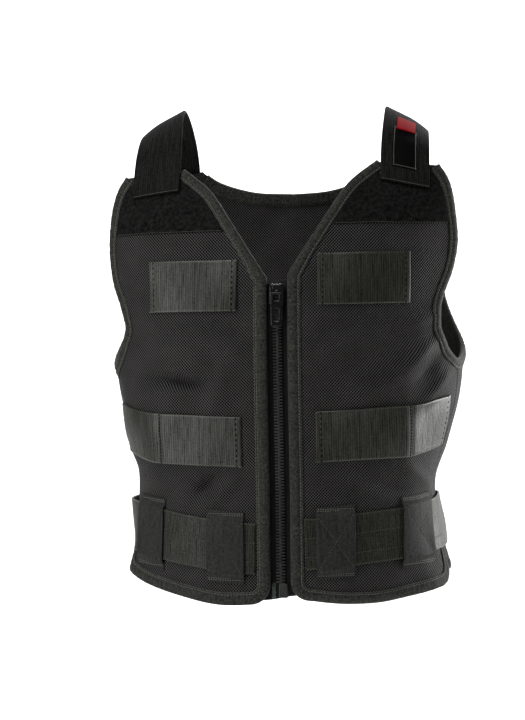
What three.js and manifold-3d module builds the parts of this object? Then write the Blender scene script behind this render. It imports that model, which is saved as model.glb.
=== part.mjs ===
// Zip-front work vest in the shape it takes when worn.
// Millimetres, +Z up, the front looks along -Y and +X is the wearer's left.
// The origin is on the middle plane, level with the underside of the straps on top of the shoulders.
// Cloth is laid out flat as points (u, z): u is the distance round the body from the front centre
// line, positive towards the wearer's left, and z is the height. onTorso() wraps it on the torso form.

import * as THREE from 'three';
import { mergeVertices } from 'three/addons/utils/BufferGeometryUtils.js';
import Module from 'manifold-3d';

// Thicknesses and gaps
const PANEL_THICKNESS = 3;
const BINDING_THICKNESS = 1;
const WEBBING_THICKNESS = 2;
const YOKE_THICKNESS = 1.5;
const STRAP_THICKNESS = 3;
const LABEL_THICKNESS = 1;
const TAPE_THICKNESS = 1;
const LAYER_GAP = 0.5;
const BINDING_GAP = 0.8;
const SEAM_GAP = 0.6;

// Widths of the cut tapes
const BINDING_WIDTH = 12;
const WEBBING_WIDTH = 51;
const STRAP_WIDTH = 50;

// Torso form: half width, depth to the front and to the back, and how square the section is
const TORSO = [
  { z: -510, halfWidth: 168, front: 113, back: 98, squareness: 2.35 },
  { z: -473, halfWidth: 168, front: 114, back: 98, squareness: 2.35 },
  { z: -435, halfWidth: 162, front: 114, back: 96, squareness: 2.35 },
  { z: -380, halfWidth: 156, front: 113, back: 94, squareness: 2.3 },
  { z: -341, halfWidth: 167, front: 117, back: 99, squareness: 2.3 },
  { z: -300, halfWidth: 178, front: 121, back: 106, squareness: 2.3 },
  { z: -255, halfWidth: 183, front: 123, back: 112, squareness: 2.3 },
  { z: -200, halfWidth: 188, front: 121, back: 117, squareness: 2.3 },
  { z: -150, halfWidth: 193, front: 110, back: 119, squareness: 2.35 },
  { z: -100, halfWidth: 195, front: 91, back: 116, squareness: 2.4 },
  { z: -60, halfWidth: 192, front: 69, back: 106, squareness: 2.4 },
  { z: -30, halfWidth: 186, front: 48, back: 92, squareness: 2.4 },
  { z: 10, halfWidth: 178, front: 18, back: 60, squareness: 2.4 },
];
const SECTION_STEPS = 240;
const SECTIONS_PER_MM = 100;
const NORMAL_STEP = 4;
const CURVE_SAMPLES = 400;
const MERGE_DISTANCE = 1e-4;

// The wearer's right shoulder hangs lower: rise per millimetre of x, fading out at the belt
const LEAN = 0.026;
const LEAN_FULL_Z = -170;
const LEAN_NONE_Z = -430;

// Folds and swells of the cloth: centre, half length and half width, turn in degrees from level, height
const FOLDS = [
  { u: 128, z: -258, length: 36, width: 17, turn: 35, height: 3.5 },
  { u: -100, z: -273, length: 42, width: 16, turn: -4, height: -3 },
  { u: -112, z: -240, length: 34, width: 17, turn: -30, height: 3 },
  { u: -74, z: -380, length: 26, width: 15, turn: 50, height: -2.5 },
  { u: 200, z: -484, length: 50, width: 22, turn: 0, height: 5 },
  { u: -200, z: -484, length: 50, width: 22, turn: 0, height: 4 },
];

// Outline of a front panel on the wearer's left, the right one being its mirror image
const FRONT_EDGE_U = 11.5;
const HEM_CORNER_Z = -466;
const HEM_CORNER_RADIUS = 25;
const V_BOTTOM_Z = -166;
const NECK = [
  { u: FRONT_EDGE_U, z: V_BOTTOM_Z },
  { u: 25.5, z: -144.5 },
  { u: 48, z: -109.5 },
  { u: 71, z: -76.5 },
  { u: 99, z: -53.5 },
];
const VENT_RADIUS = 22;
const VENT_EDGE_U = 193;
const VENT_CORNER_Z = -453;
const VENT_TOP_Z = -447;
const FRONT_HEM = [
  { u: FRONT_EDGE_U + HEM_CORNER_RADIUS, z: HEM_CORNER_Z - HEM_CORNER_RADIUS },
  { u: 62, z: -492.5 },
  { u: 100, z: -487.5 },
  { u: 135, z: -481.5 },
  { u: VENT_EDGE_U - VENT_RADIUS, z: VENT_CORNER_Z - VENT_RADIUS },
];
const SIDE_SEAM = [
  { u: 195, z: VENT_TOP_Z },
  { u: 197, z: -345 },
  { u: 213, z: -257 },
];
const ARMHOLE_FRONT = [
  { u: 162.5, z: -58 },
  { u: 174, z: -75 },
  { u: 183.5, z: -102 },
  { u: 189.5, z: -134 },
  { u: 185, z: -165 },
  { u: 174.5, z: -190 },
  { u: 169.5, z: -212 },
  { u: 177, z: -233 },
  { u: 192, z: -249 },
];

// Outline of the back panel, where fromBack is the distance round from the back centre line
const ARMHOLE_BACK = [
  { fromBack: 238, z: -250 },
  { fromBack: 203, z: -226 },
  { fromBack: 179, z: -192 },
  { fromBack: 167, z: -150 },
  { fromBack: 160.5, z: -104 },
  { fromBack: 156, z: -56 },
];
const BACK_NECK = [
  { fromBack: 100, z: -46 },
  { fromBack: 78, z: -61 },
  { fromBack: 42, z: -71 },
  { fromBack: 0, z: -74 },
];
const BACK_HEM_Z = -477;

// Number of cloth cells along each stretch of the outlines
const CORNER_CELLS = 2;
const VENT_CELLS = 1;
const FRONT_CELLS = { edge: 12, neck: 7, hem: 10, seam: 7, armhole: 11 };
const BACK_CELLS = { hem: 22, seam: 7, armhole: 11, shoulder: 5, neck: 16 };

// Webbing sewn across the panels: the middle line rises towards the side
const CHEST_WEBBING = [
  { u: 40, z: -172 },
  { u: 133, z: -172 },
];
const WAIST_WEBBING = [
  { u: 37, z: -328 },
  { u: 130, z: -323.5 },
  { u: 193, z: -316 },
];
const WEBBING = [
  { place: 'chest', middle: CHEST_WEBBING, cells: 7 },
  { place: 'waist', middle: WAIST_WEBBING, cells: 11 },
];
const WEBBING_STRIPS = 3;

// Belt from front edge to front edge round the back: its middle line, and how far its lower and upper
// edges bow out at the sides
const BELT_START_U = FRONT_EDGE_U + BINDING_WIDTH + 2 * LAYER_GAP;
const BELT_FRONT = [
  { u: BELT_START_U, z: -436 },
  { u: 50, z: -435 },
  { u: 90, z: -431 },
  { u: 150, z: -427 },
  { u: 205, z: -424 },
];
const BELT_BACK_Z = -422;
const BELT_HALF_CELLS = 29;
const BELT_STRIPS = 2;
const BELT_BOW = [
  { u: -222, length: 42, lower: 0.5, upper: 7 },
  { u: 222, length: 42, lower: 0.5, upper: 1.5 },
];

// Loops over the belt: place round the body and width
const BELT_LOOPS = [
  { place: 'front', u: 55, width: 38 },
  { place: 'side', u: 145, width: 42 },
];
const LOOP_HALF_HEIGHT = 36;
const LOOP_TAB = 5;
const LOOP_RAMP = 4;
const LOOP_CELLS = 3;
const LOOP_LIFT = 1.3;

// Loop-fastener yoke on the upper chest
const YOKE_BOTTOM_Z = -118;
const YOKE_TOP_Z = -67;
const YOKE_CELLS = { across: 9, up: 4 };

// Shoulder straps
const STRAP_U = 127;
const STRAP_END_Z = -76;
const STRAP_END_SLANT = 0.12;
const STRAP_FRONT_Z = [-64, -52];
const STRAP_BACK_Z = [-44, -60, -80, -100];
const STRAP_CLEARANCE = 0.7;
const STRAP_LIFT = PANEL_THICKNESS + LAYER_GAP + YOKE_THICKNESS + STRAP_CLEARANCE;
const STRAP_CELLS = { across: 4, along: 22 };
const CREST_X = 128;
const CREST_Y = 9;
const SHOULDER_SLOPE = THREE.MathUtils.degToRad(27);

// Patch and folded tab on the left strap, as shares of the strap's length from its front end
const LABEL = { from: 0.1, to: 0.31, middle: -1, width: 24, across: 2, along: 5 };
const LABEL_TAB = { from: 0.315, to: 0.385, middle: -0.5, width: 19, across: 2, along: 2 };

// Zip
const ZIP_TOP_Z = -170;
const ZIP_BOTTOM_Z = -489;
const TAPE_INNER_U = 2;
const TAPE_OUTER_U = 20;
const TAPE_LIFT = -BINDING_GAP - BINDING_THICKNESS - LAYER_GAP - TAPE_THICKNESS;
const CHAIN_HALF_WIDTH = 4.5;
const CHAIN_CLEARANCE = 0.4;
const CHAIN_BACK = TAPE_LIFT + TAPE_THICKNESS + CHAIN_CLEARANCE;
const CHAIN_FRONT = 1.6;
const ZIP_CELLS = 13;
const SLIDER_Z = -184;
const SLIDER_WIDTH = 15;
const SLIDER_HEIGHT = 21;
const SLIDER_CHAMFER = 3;
const SLIDER_PLATE = 2;
const CHANNEL_CLEARANCE = 0.5;
const BAIL_WIDTH = 3.2;
const BAIL_OPENING = 6.4;
const BAIL_WALL = 1.8;
const BAIL_CLEAR_HEIGHT = 4;
const PULL_WIDTH = 12;
const PULL_LENGTH = 34;
const PULL_BAR = 2.4;
const PULL_WINDOW = { halfWidth: 2.4, length: 6 };
const PULL_SLOT = { halfWidth: 2.4, top: -15, bottom: -28 };
const PULL_CORNER = 2;
const BOX_SIZE = { width: 9, height: 14, depth: 4, chamfer: 1 };
const BOX_U = 2.5;
const BOX_Z = -481;
const FILM = { innerU: 5.2, outerU: 9.4, top: -472, bottom: -488, thickness: 0.7 };

// Finishes
const FINISHES = {
  mesh: { color: 0x262625, roughness: 0.9, metalness: 0 },
  binding: { color: 0x3a3a34, roughness: 0.75, metalness: 0 },
  webbing: { color: 0x30312e, roughness: 0.55, metalness: 0 },
  canvas: { color: 0x2b2b2a, roughness: 0.85, metalness: 0 },
  loop: { color: 0x1a1a1a, roughness: 1, metalness: 0 },
  strap: { color: 0x161615, roughness: 0.8, metalness: 0 },
  zipTape: { color: 0x151515, roughness: 0.85, metalness: 0 },
  zipPlastic: { color: 0x1c1c1c, roughness: 0.4, metalness: 0 },
  zipMetal: { color: 0x101010, roughness: 0.25, metalness: 0.6 },
  film: { color: 0x59625d, roughness: 0.3, metalness: 0 },
  label: { color: 0x141414, roughness: 0.7, metalness: 0 },
  tab: { color: 0xb5232b, roughness: 0.75, metalness: 0 },
};

const wasm = await Module();
wasm.setup();
const vest = new THREE.Group();

// Torso form

const torsoTable = new THREE.CubicInterpolant(
  TORSO.map((row) => row.z),
  TORSO.flatMap((row) => [row.halfWidth, row.front, row.back, row.squareness]),
  4,
);
const sections = new Map();

// Half of a level section, from the front centre line to the back one, with its running length
function torsoSection(z) {
  const key = Math.round(z * SECTIONS_PER_MM);
  if (!sections.has(key)) {
    const [halfWidth, front, back, squareness] = torsoTable.evaluate(z);
    const points = [];
    const lengths = [0];
    for (let i = 0; i <= SECTION_STEPS; i++) {
      const turn = (Math.PI * i) / SECTION_STEPS;
      const across = Math.max(0, Math.sin(turn)) ** (2 / squareness);
      const deep = Math.abs(Math.cos(turn)) ** (2 / squareness);
      const depth = i * 2 < SECTION_STEPS ? -front * deep : back * deep;
      points.push(new THREE.Vector2(halfWidth * across, depth));
      if (i > 0) lengths.push(lengths[i - 1] + points[i].distanceTo(points[i - 1]));
    }
    sections.set(key, { points, lengths });
  }
  return sections.get(key);
}

function halfGirth(z) {
  return torsoSection(z).lengths[SECTION_STEPS];
}

// A place past the back centre line counts from the other side
function wrapped(u, z) {
  const half = halfGirth(z);
  return u > half ? u - 2 * half : u;
}

function torsoPoint(u, z) {
  const { points, lengths } = torsoSection(z);
  const place = wrapped(u, z);
  const distance = Math.abs(place);
  let low = 0;
  let high = SECTION_STEPS;
  while (high - low > 1) {
    const middle = (low + high) >> 1;
    if (lengths[middle] <= distance) low = middle;
    else high = middle;
  }
  const share = (distance - lengths[low]) / (lengths[high] - lengths[low]);
  const flat = points[low].clone().lerp(points[high], share);
  return new THREE.Vector3(Math.sign(place) * flat.x, flat.y, z);
}

function foldHeight(u, z) {
  const place = wrapped(u, z);
  let height = 0;
  for (const fold of FOLDS) {
    const turn = THREE.MathUtils.degToRad(fold.turn);
    const along = (place - fold.u) * Math.cos(turn) + (z - fold.z) * Math.sin(turn);
    const across = (z - fold.z) * Math.cos(turn) - (place - fold.u) * Math.sin(turn);
    height += fold.height * Math.exp(-((along / fold.length) ** 2) - (across / fold.width) ** 2);
  }
  return height;
}

function leaned(point) {
  const share = THREE.MathUtils.smoothstep(point.z, LEAN_NONE_Z, LEAN_FULL_Z);
  point.z += LEAN * point.x * share;
  return point;
}

// A place on the cloth, lifted outwards from the torso form
function onTorso(u, z, lift) {
  const along = torsoPoint(u + NORMAL_STEP, z).sub(torsoPoint(u - NORMAL_STEP, z));
  const up = torsoPoint(u, z + NORMAL_STEP).sub(torsoPoint(u, z - NORMAL_STEP));
  const normal = along.cross(up).normalize();
  return leaned(torsoPoint(u, z).addScaledVector(normal, lift + foldHeight(u, z)));
}

// Ways of laying flat cloth on the torso: on one side, counted from the front centre line, or on the
// back, counted from the back centre line and positive towards the wearer's right
function sideLay(sign) {
  return { mirrored: sign < 0, sign, place: (p, lift) => onTorso(sign * p.x, p.y, lift) };
}

const SIDES = [
  { name: 'right', lay: sideLay(-1) },
  { name: 'left', lay: sideLay(1) },
];
const BACK_LAY = { mirrored: false, place: (p, lift) => onTorso(halfGirth(p.y) + p.x, p.y, lift) };

// Flat outlines

function flat(row) {
  const u = row.fromBack === undefined ? row.u : halfGirth(row.z) - row.fromBack;
  return new THREE.Vector2(u, row.z);
}

function splineThrough(rows) {
  return new THREE.SplineCurve(rows.map(flat));
}

function line(from, to, cells) {
  return new THREE.LineCurve(from, to).getPoints(cells);
}

function quarterArc(centre, radius, startDegrees) {
  const start = THREE.MathUtils.degToRad(startDegrees);
  const curve = new THREE.EllipseCurve(centre.x, centre.y, radius, radius, start, start + Math.PI / 2);
  return curve.getPoints(2 * CORNER_CELLS);
}

// Joins stretches that share their end points
function joined(...stretches) {
  return stretches.reduce((all, points) => all.concat(points.slice(all.length ? 1 : 0)), []);
}

function fromBackCentre(points) {
  return points.map((p) => new THREE.Vector2(p.x - halfGirth(p.y), p.y));
}

function mirrorImage(points) {
  return points.map((p) => new THREE.Vector2(-p.x, p.y)).reverse();
}

// The armhole runs from the front shoulder under the arm to the back shoulder
const armholeCurve = splineThrough([...ARMHOLE_FRONT, SIDE_SEAM.at(-1), ...ARMHOLE_BACK]);
const armpitShare = ARMHOLE_FRONT.length / (ARMHOLE_FRONT.length + ARMHOLE_BACK.length);
const neckCurve = splineThrough(NECK);

function curvePart(curve, from, to, cells) {
  const points = [];
  for (let i = 0; i <= cells; i++) {
    points.push(curve.getPoint(THREE.MathUtils.lerp(from, to, i / cells)));
  }
  return points;
}

// Side edge of a panel from the vent corner up to the armpit, at an offset from the seam line
function sideEdge(cornerU, offset, seamCells) {
  const seam = splineThrough(SIDE_SEAM).getPoints(seamCells);
  for (const p of seam) p.x += offset;
  return joined(line(new THREE.Vector2(cornerU, VENT_CORNER_Z), seam[0], VENT_CELLS), seam);
}

function frontOutline() {
  const edgeCentre = new THREE.Vector2(FRONT_EDGE_U + HEM_CORNER_RADIUS, HEM_CORNER_Z);
  const ventCentre = new THREE.Vector2(VENT_EDGE_U - VENT_RADIUS, VENT_CORNER_Z);
  const edgeArc = quarterArc(edgeCentre, HEM_CORNER_RADIUS, 180);
  const ventArc = quarterArc(ventCentre, VENT_RADIUS, 270);
  const edgeFoot = new THREE.Vector2(FRONT_EDGE_U, HEM_CORNER_Z);
  const edgeTop = new THREE.Vector2(FRONT_EDGE_U, V_BOTTOM_Z);
  const edge = line(edgeFoot, edgeTop, FRONT_CELLS.edge);
  const neck = curvePart(neckCurve, 0, 1, FRONT_CELLS.neck);
  const hem = curvePart(splineThrough(FRONT_HEM), 0, 1, FRONT_CELLS.hem);
  const side = sideEdge(VENT_EDGE_U, -SEAM_GAP / 2, FRONT_CELLS.seam);
  const armhole = curvePart(armholeCurve, armpitShare, 0, FRONT_CELLS.armhole);
  armhole[0].x -= SEAM_GAP / 2;
  return {
    start: joined(edgeArc.slice(0, CORNER_CELLS + 1).reverse(), edge, neck),
    bottom: joined(edgeArc.slice(CORNER_CELLS), hem, ventArc.slice(0, CORNER_CELLS + 1)),
    end: joined(ventArc.slice(CORNER_CELLS), side, armhole),
    top: line(neck.at(-1), armhole.at(-1), FRONT_CELLS.hem + 2 * CORNER_CELLS),
  };
}

function backOutline() {
  const cornerU = 2 * SIDE_SEAM[0].u - VENT_EDGE_U;
  const ventCentre = new THREE.Vector2(cornerU + VENT_RADIUS, VENT_CORNER_Z);
  const ventArc = quarterArc(ventCentre, VENT_RADIUS, 180);
  const side = sideEdge(cornerU, SEAM_GAP / 2, BACK_CELLS.seam);
  const armhole = curvePart(armholeCurve, armpitShare, 1, BACK_CELLS.armhole);
  armhole[0].x += SEAM_GAP / 2;
  const neckHalf = fromBackCentre(curvePart(splineThrough(BACK_NECK), 0, 1, BACK_CELLS.neck / 2));
  const neck = joined(neckHalf, mirrorImage(neckHalf));
  const start = fromBackCentre(joined(ventArc.slice(0, CORNER_CELLS + 1).reverse(), side, armhole));
  const shoulder = line(start.at(-1), neck[0], BACK_CELLS.shoulder);
  const corner = fromBackCentre(ventArc.slice(CORNER_CELLS));
  const hemStart = corner.at(-1);
  const hemMiddle = new THREE.Vector2(0, BACK_HEM_Z);
  const hem = new THREE.SplineCurve([hemStart, hemMiddle, ...mirrorImage([hemStart])]);
  return {
    start,
    bottom: joined(corner, hem.getPoints(BACK_CELLS.hem), mirrorImage(corner)),
    end: mirrorImage(start).reverse(),
    top: joined(shoulder, neck, mirrorImage(shoulder)),
    neck,
  };
}

// Fills a four-sided outline with rows of flat points
function filled({ start, bottom, end, top }) {
  const rows = start.length - 1;
  const columns = bottom.length - 1;
  const grid = [];
  for (let r = 0; r <= rows; r++) {
    const v = r / rows;
    const row = [];
    for (let c = 0; c <= columns; c++) {
      const s = c / columns;
      const point = bottom[c].clone().multiplyScalar(1 - v).addScaledVector(top[c], v);
      point.addScaledVector(start[r], 1 - s).addScaledVector(end[r], s);
      point.addScaledVector(start[0], -(1 - s) * (1 - v)).addScaledVector(end[0], -s * (1 - v));
      point.addScaledVector(start[rows], -(1 - s) * v).addScaledVector(end[rows], -s * v);
      row.push(point);
    }
    grid.push(row);
  }
  return grid;
}

// A band of flat points along a middle line, strips wide
function band(middle, width, strips) {
  const grid = [];
  for (let r = 0; r <= strips; r++) {
    const offset = width * (r / strips - 0.5);
    grid.push(middle.map((p) => new THREE.Vector2(p.x, p.y + offset)));
  }
  return grid;
}

// Solids

function geometryOf(points, triangles) {
  const geometry = new THREE.BufferGeometry();
  geometry.setFromPoints(points);
  geometry.setIndex(triangles);
  return geometry;
}

// Collects triangles, turned round for a mirrored piece
function triangleList(mirrored) {
  const list = [];
  const triangle = (a, b, c) => list.push(a, mirrored ? c : b, mirrored ? b : c);
  const quad = (a, b, c, d) => {
    triangle(a, b, c);
    triangle(a, c, d);
  };
  return { list, triangle, quad };
}

// Closed sheet between two grids of points, rows going up and columns along +u
function sheetSolid(inner, outer, mirrored) {
  const rows = outer.length - 1;
  const columns = outer[0].length - 1;
  const points = [...outer.flat(), ...inner.flat()];
  const insideStart = points.length / 2;
  const at = (r, c) => r * (columns + 1) + c;
  const { list, triangle, quad } = triangleList(mirrored);
  for (let r = 0; r < rows; r++) {
    for (let c = 0; c < columns; c++) {
      const [a, b, d, e] = [at(r, c), at(r, c + 1), at(r + 1, c + 1), at(r + 1, c)];
      const rising = points[a].distanceTo(points[d]) < points[b].distanceTo(points[e]);
      const halves = rising ? [[a, b, d], [a, d, e]] : [[a, b, e], [b, d, e]];
      for (const [i, j, k] of halves) {
        triangle(i, j, k);
        triangle(insideStart + i, insideStart + k, insideStart + j);
      }
    }
  }
  const rim = [];
  for (let c = 0; c < columns; c++) rim.push(at(0, c));
  for (let r = 0; r < rows; r++) rim.push(at(r, columns));
  for (let c = columns; c > 0; c--) rim.push(at(rows, c));
  for (let r = rows; r > 0; r--) rim.push(at(r, 0));
  rim.forEach((here, i) => {
    const next = rim[(i + 1) % rim.length];
    quad(next, here, insideStart + here, insideStart + next);
  });
  return geometryOf(points, list);
}

// Sheet of cloth laid on the torso between two lifts, which may vary from place to place
function clothSolid(grid, lay, low, thickness, extraLift = () => 0) {
  const lifted = (height) =>
    grid.map((row, r) => row.map((p) => lay.place(p, height + extraLift(p, r))));
  return sheetSolid(lifted(low), lifted(low + thickness), lay.mirrored);
}

// Direction into the panel at each point of an edge that has the panel on its right
function inwardDirections(path) {
  return path.map((_, i) => {
    const before = path[Math.max(i - 1, 0)];
    const after = path[Math.min(i + 1, path.length - 1)];
    const along = after.clone().sub(before).normalize();
    return new THREE.Vector2(along.y, -along.x);
  });
}

// Tape folded over an edge of a panel, as a U-shaped section carried along the edge
function bindingSolid(path, lay) {
  const fold = BINDING_GAP + BINDING_THICKNESS;
  const section = [
    [BINDING_WIDTH, PANEL_THICKNESS + fold],
    [-fold, PANEL_THICKNESS + fold],
    [-fold, -fold],
    [BINDING_WIDTH, -fold],
    [BINDING_WIDTH, -BINDING_GAP],
    [-BINDING_GAP, -BINDING_GAP],
    [-BINDING_GAP, PANEL_THICKNESS + BINDING_GAP],
    [BINDING_WIDTH, PANEL_THICKNESS + BINDING_GAP],
  ];
  const legs = [[0, 1, 6, 7], [1, 2, 5, 6], [2, 3, 4, 5]];
  const count = section.length;
  const inward = inwardDirections(path);
  const points = path.flatMap((p, i) =>
    section.map(([inset, lift]) => lay.place(p.clone().addScaledVector(inward[i], inset), lift)),
  );
  const { list, quad } = triangleList(lay.mirrored);
  for (let i = 0; i + 1 < path.length; i++) {
    for (let j = 0; j < count; j++) {
      const k = (j + 1) % count;
      quad(i * count + k, i * count + j, (i + 1) * count + j, (i + 1) * count + k);
    }
  }
  const last = (path.length - 1) * count;
  for (const [a, b, c, d] of legs) {
    quad(a, b, c, d);
    quad(last + d, last + c, last + b, last + a);
  }
  return geometryOf(points, list);
}

function toManifold(geometry) {
  const bare = geometry.clone();
  bare.deleteAttribute('normal');
  bare.deleteAttribute('uv');
  const merged = mergeVertices(bare, MERGE_DISTANCE);
  return new wasm.Manifold(new wasm.Mesh({
    numProp: 3,
    vertProperties: new Float32Array(merged.attributes.position.array),
    triVerts: new Uint32Array(merged.index.array),
  }));
}

function fromManifold(solid) {
  const mesh = solid.getMesh();
  const geometry = new THREE.BufferGeometry();
  geometry.setAttribute('position', new THREE.BufferAttribute(mesh.vertProperties, 3));
  geometry.setIndex(new THREE.BufferAttribute(mesh.triVerts, 1));
  return geometry;
}

function addPiece(name, geometry, finish, parent = vest) {
  const piece = new THREE.Mesh(geometry, new THREE.MeshStandardMaterial(FINISHES[finish]));
  piece.name = name;
  parent.add(piece);
  return piece;
}

// Panels and their bindings

const front = frontOutline();
const back = backOutline();

function addPanels() {
  const ventCells = CORNER_CELLS + VENT_CELLS;
  const frontEdge = joined(
    front.end.slice(0, ventCells).reverse(),
    front.bottom.slice().reverse(),
    front.start,
  );
  const armhole = joined(
    curvePart(armholeCurve, 0, armpitShare, FRONT_CELLS.armhole),
    curvePart(armholeCurve, armpitShare, 1, BACK_CELLS.armhole),
  );
  for (const { name, lay } of SIDES) {
    addPiece(`front_panel_${name}`, clothSolid(filled(front), lay, 0, PANEL_THICKNESS), 'mesh');
    addPiece(`edge_binding_${name}`, bindingSolid(frontEdge, lay), 'binding');
    addPiece(`armhole_binding_${name}`, bindingSolid(armhole, lay), 'binding');
  }
  const backHem = joined(
    back.end.slice(0, ventCells).reverse(),
    back.bottom.slice().reverse(),
    back.start.slice(0, ventCells),
  );
  addPiece('back_panel', clothSolid(filled(back), BACK_LAY, 0, PANEL_THICKNESS), 'mesh');
  addPiece('back_hem_binding', bindingSolid(backHem, BACK_LAY), 'binding');
  addPiece('back_neck_binding', bindingSolid(back.neck.slice(1, -1), BACK_LAY), 'binding');
}

// Webbing, belt and belt loops

const OUTER_LIFT = PANEL_THICKNESS + LAYER_GAP;

function addWebbing() {
  for (const { name, lay } of SIDES) {
    for (const { place, middle, cells } of WEBBING) {
      const grid = band(splineThrough(middle).getPoints(cells), WEBBING_WIDTH, WEBBING_STRIPS);
      const solid = clothSolid(grid, lay, OUTER_LIFT, WEBBING_THICKNESS);
      addPiece(`${place}_webbing_${name}`, solid, 'webbing');
    }
  }
}

const beltRear = { u: halfGirth(BELT_BACK_Z), z: BELT_BACK_Z };
const beltCurve = splineThrough([...BELT_FRONT, beltRear]);

// Belt from the left front edge round the back to the right one. Each crosswise line keeps its share
// of the girth, so both ends are cut straight
function beltGrid() {
  const spaced = beltCurve.getSpacedPoints(BELT_HALF_CELLS);
  const left = spaced.map((p) => ({ share: p.x / halfGirth(p.y), z: p.y }));
  const right = left.slice(0, -1).map(({ share, z }) => ({ share: 2 - share, z })).reverse();
  const grid = [];
  for (let r = 0; r <= BELT_STRIPS; r++) {
    const offset = WEBBING_WIDTH * (r / BELT_STRIPS - 0.5);
    grid.push([...left, ...right].map(({ share, z }) => {
      const height = z + offset;
      return new THREE.Vector2(share * halfGirth(height), height);
    }));
  }
  return grid;
}

// How far the belt stands off the panels
function beltBow(u, z) {
  const up = THREE.MathUtils.clamp((z - BELT_BACK_Z) / WEBBING_WIDTH + 0.5, 0, 1);
  const place = wrapped(u, z);
  return BELT_BOW.reduce((sum, bow) => {
    const height = THREE.MathUtils.lerp(bow.lower, bow.upper, up);
    return sum + height * Math.exp(-(((place - bow.u) / bow.length) ** 2));
  }, 0);
}

function addBelt() {
  const bow = (p) => beltBow(p.x, p.y);
  const belt = clothSolid(beltGrid(), sideLay(1), OUTER_LIFT, WEBBING_THICKNESS, bow);
  addPiece('belt_webbing', belt, 'webbing');
  for (const { name, lay } of SIDES) {
    for (const { place, u, width } of BELT_LOOPS) {
      addPiece(`belt_loop_${place}_${name}`, beltLoop(u, width, lay), 'canvas');
    }
  }
}

// Height of the belt's middle line at a place on the front
function beltZ(u) {
  return beltCurve.getPoints(CURVE_SAMPLES).find((p) => p.x >= u).y;
}

// Band with its two ends sewn down and its middle raised over the belt
function beltLoop(u, width, lay) {
  const ramp = LOOP_HALF_HEIGHT - LOOP_TAB;
  const flatTop = ramp - LOOP_RAMP;
  const offsets = [-LOOP_HALF_HEIGHT, -ramp, -flatTop, 0, flatTop, ramp, LOOP_HALF_HEIGHT];
  const raised = [false, false, true, true, true, false, false];
  const grid = offsets.map((offset) => {
    const row = [];
    for (let c = 0; c <= LOOP_CELLS; c++) {
      const place = u + width * (c / LOOP_CELLS - 0.5);
      row.push(new THREE.Vector2(place, beltZ(place) + offset));
    }
    return row;
  });
  const overBelt = (p, r) => (raised[r] ? WEBBING_THICKNESS + beltBow(lay.sign * p.x, p.y) : 0);
  return clothSolid(grid, lay, PANEL_THICKNESS + LOOP_LIFT, WEBBING_THICKNESS, overBelt);
}

// Loop-fastener yokes, bounded by the inner edges of the neck and armhole bindings

function insetPart(curve, fromZ, toZ, inset, cells) {
  const dense = curve.getPoints(CURVE_SAMPLES);
  const inward = inwardDirections(dense);
  const edge = dense.map((p, i) => p.clone().addScaledVector(inward[i], inset));
  const points = [];
  for (let i = 0; i <= cells; i++) {
    const z = THREE.MathUtils.lerp(fromZ, toZ, i / cells);
    const crossing = edge.findIndex((p, j) => j > 0 && (p.y - z) * (edge[j - 1].y - z) <= 0);
    points.push(new THREE.Vector2(edge[crossing].x, z));
  }
  return points;
}

function addYokes() {
  const inset = BINDING_WIDTH + 2 * LAYER_GAP;
  const start = insetPart(neckCurve, YOKE_BOTTOM_Z, YOKE_TOP_Z, inset, YOKE_CELLS.up);
  const end = insetPart(armholeCurve, YOKE_BOTTOM_Z, YOKE_TOP_Z, inset, YOKE_CELLS.up);
  const yoke = {
    start,
    end,
    bottom: line(start[0], end[0], YOKE_CELLS.across),
    top: line(start.at(-1), end.at(-1), YOKE_CELLS.across),
  };
  for (const { name, lay } of SIDES) {
    addPiece(`loop_yoke_${name}`, clothSolid(filled(yoke), lay, OUTER_LIFT, YOKE_THICKNESS), 'loop');
  }
}

// Shoulder straps

// Line along the strap's underside, at an offset across it that is positive towards the arm
function strapLine(sign, offset) {
  const frontU = sign * (STRAP_U + offset);
  const endZ = STRAP_END_Z - STRAP_END_SLANT * offset;
  const frontPoints = [endZ, ...STRAP_FRONT_Z].map((z) => onTorso(frontU, z, STRAP_LIFT));
  const crest = new THREE.Vector3(
    sign * (CREST_X + offset * Math.cos(SHOULDER_SLOPE)),
    CREST_Y,
    -offset * Math.sin(SHOULDER_SLOPE),
  );
  const backPoints = STRAP_BACK_Z.map((z) => {
    const u = halfGirth(z) - (STRAP_U + offset);
    return onTorso(sign * u, z, STRAP_LIFT);
  });
  return new THREE.CatmullRomCurve3([...frontPoints, crest, ...backPoints], false, 'chordal');
}

// Sheet on a strap between two shares of its length, raised from the strap's underside
function strapSheet(sign, area, lift, thickness) {
  const rows = [];
  for (let r = 0; r <= area.along; r++) rows.push([]);
  for (let c = 0; c <= area.across; c++) {
    const offset = area.middle + area.width * (c / area.across - 0.5);
    const curve = strapLine(sign, offset);
    for (let r = 0; r <= area.along; r++) {
      rows[r].push(curve.getPointAt(THREE.MathUtils.lerp(area.from, area.to, r / area.along)));
    }
  }
  const normals = gridNormals(rows, sign);
  const raised = (height) =>
    rows.map((row, r) => row.map((p, c) => p.clone().addScaledVector(normals[r][c], height)));
  return sheetSolid(raised(lift), raised(lift + thickness), sign < 0);
}

function gridNormals(rows, sign) {
  return rows.map((row, r) => row.map((_, c) => {
    const before = Math.max(c - 1, 0);
    const after = Math.min(c + 1, row.length - 1);
    const across = row[after].clone().sub(row[before]);
    const along = rows[Math.min(r + 1, rows.length - 1)][c].clone().sub(rows[Math.max(r - 1, 0)][c]);
    return across.cross(along).multiplyScalar(sign).normalize();
  }));
}

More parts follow.
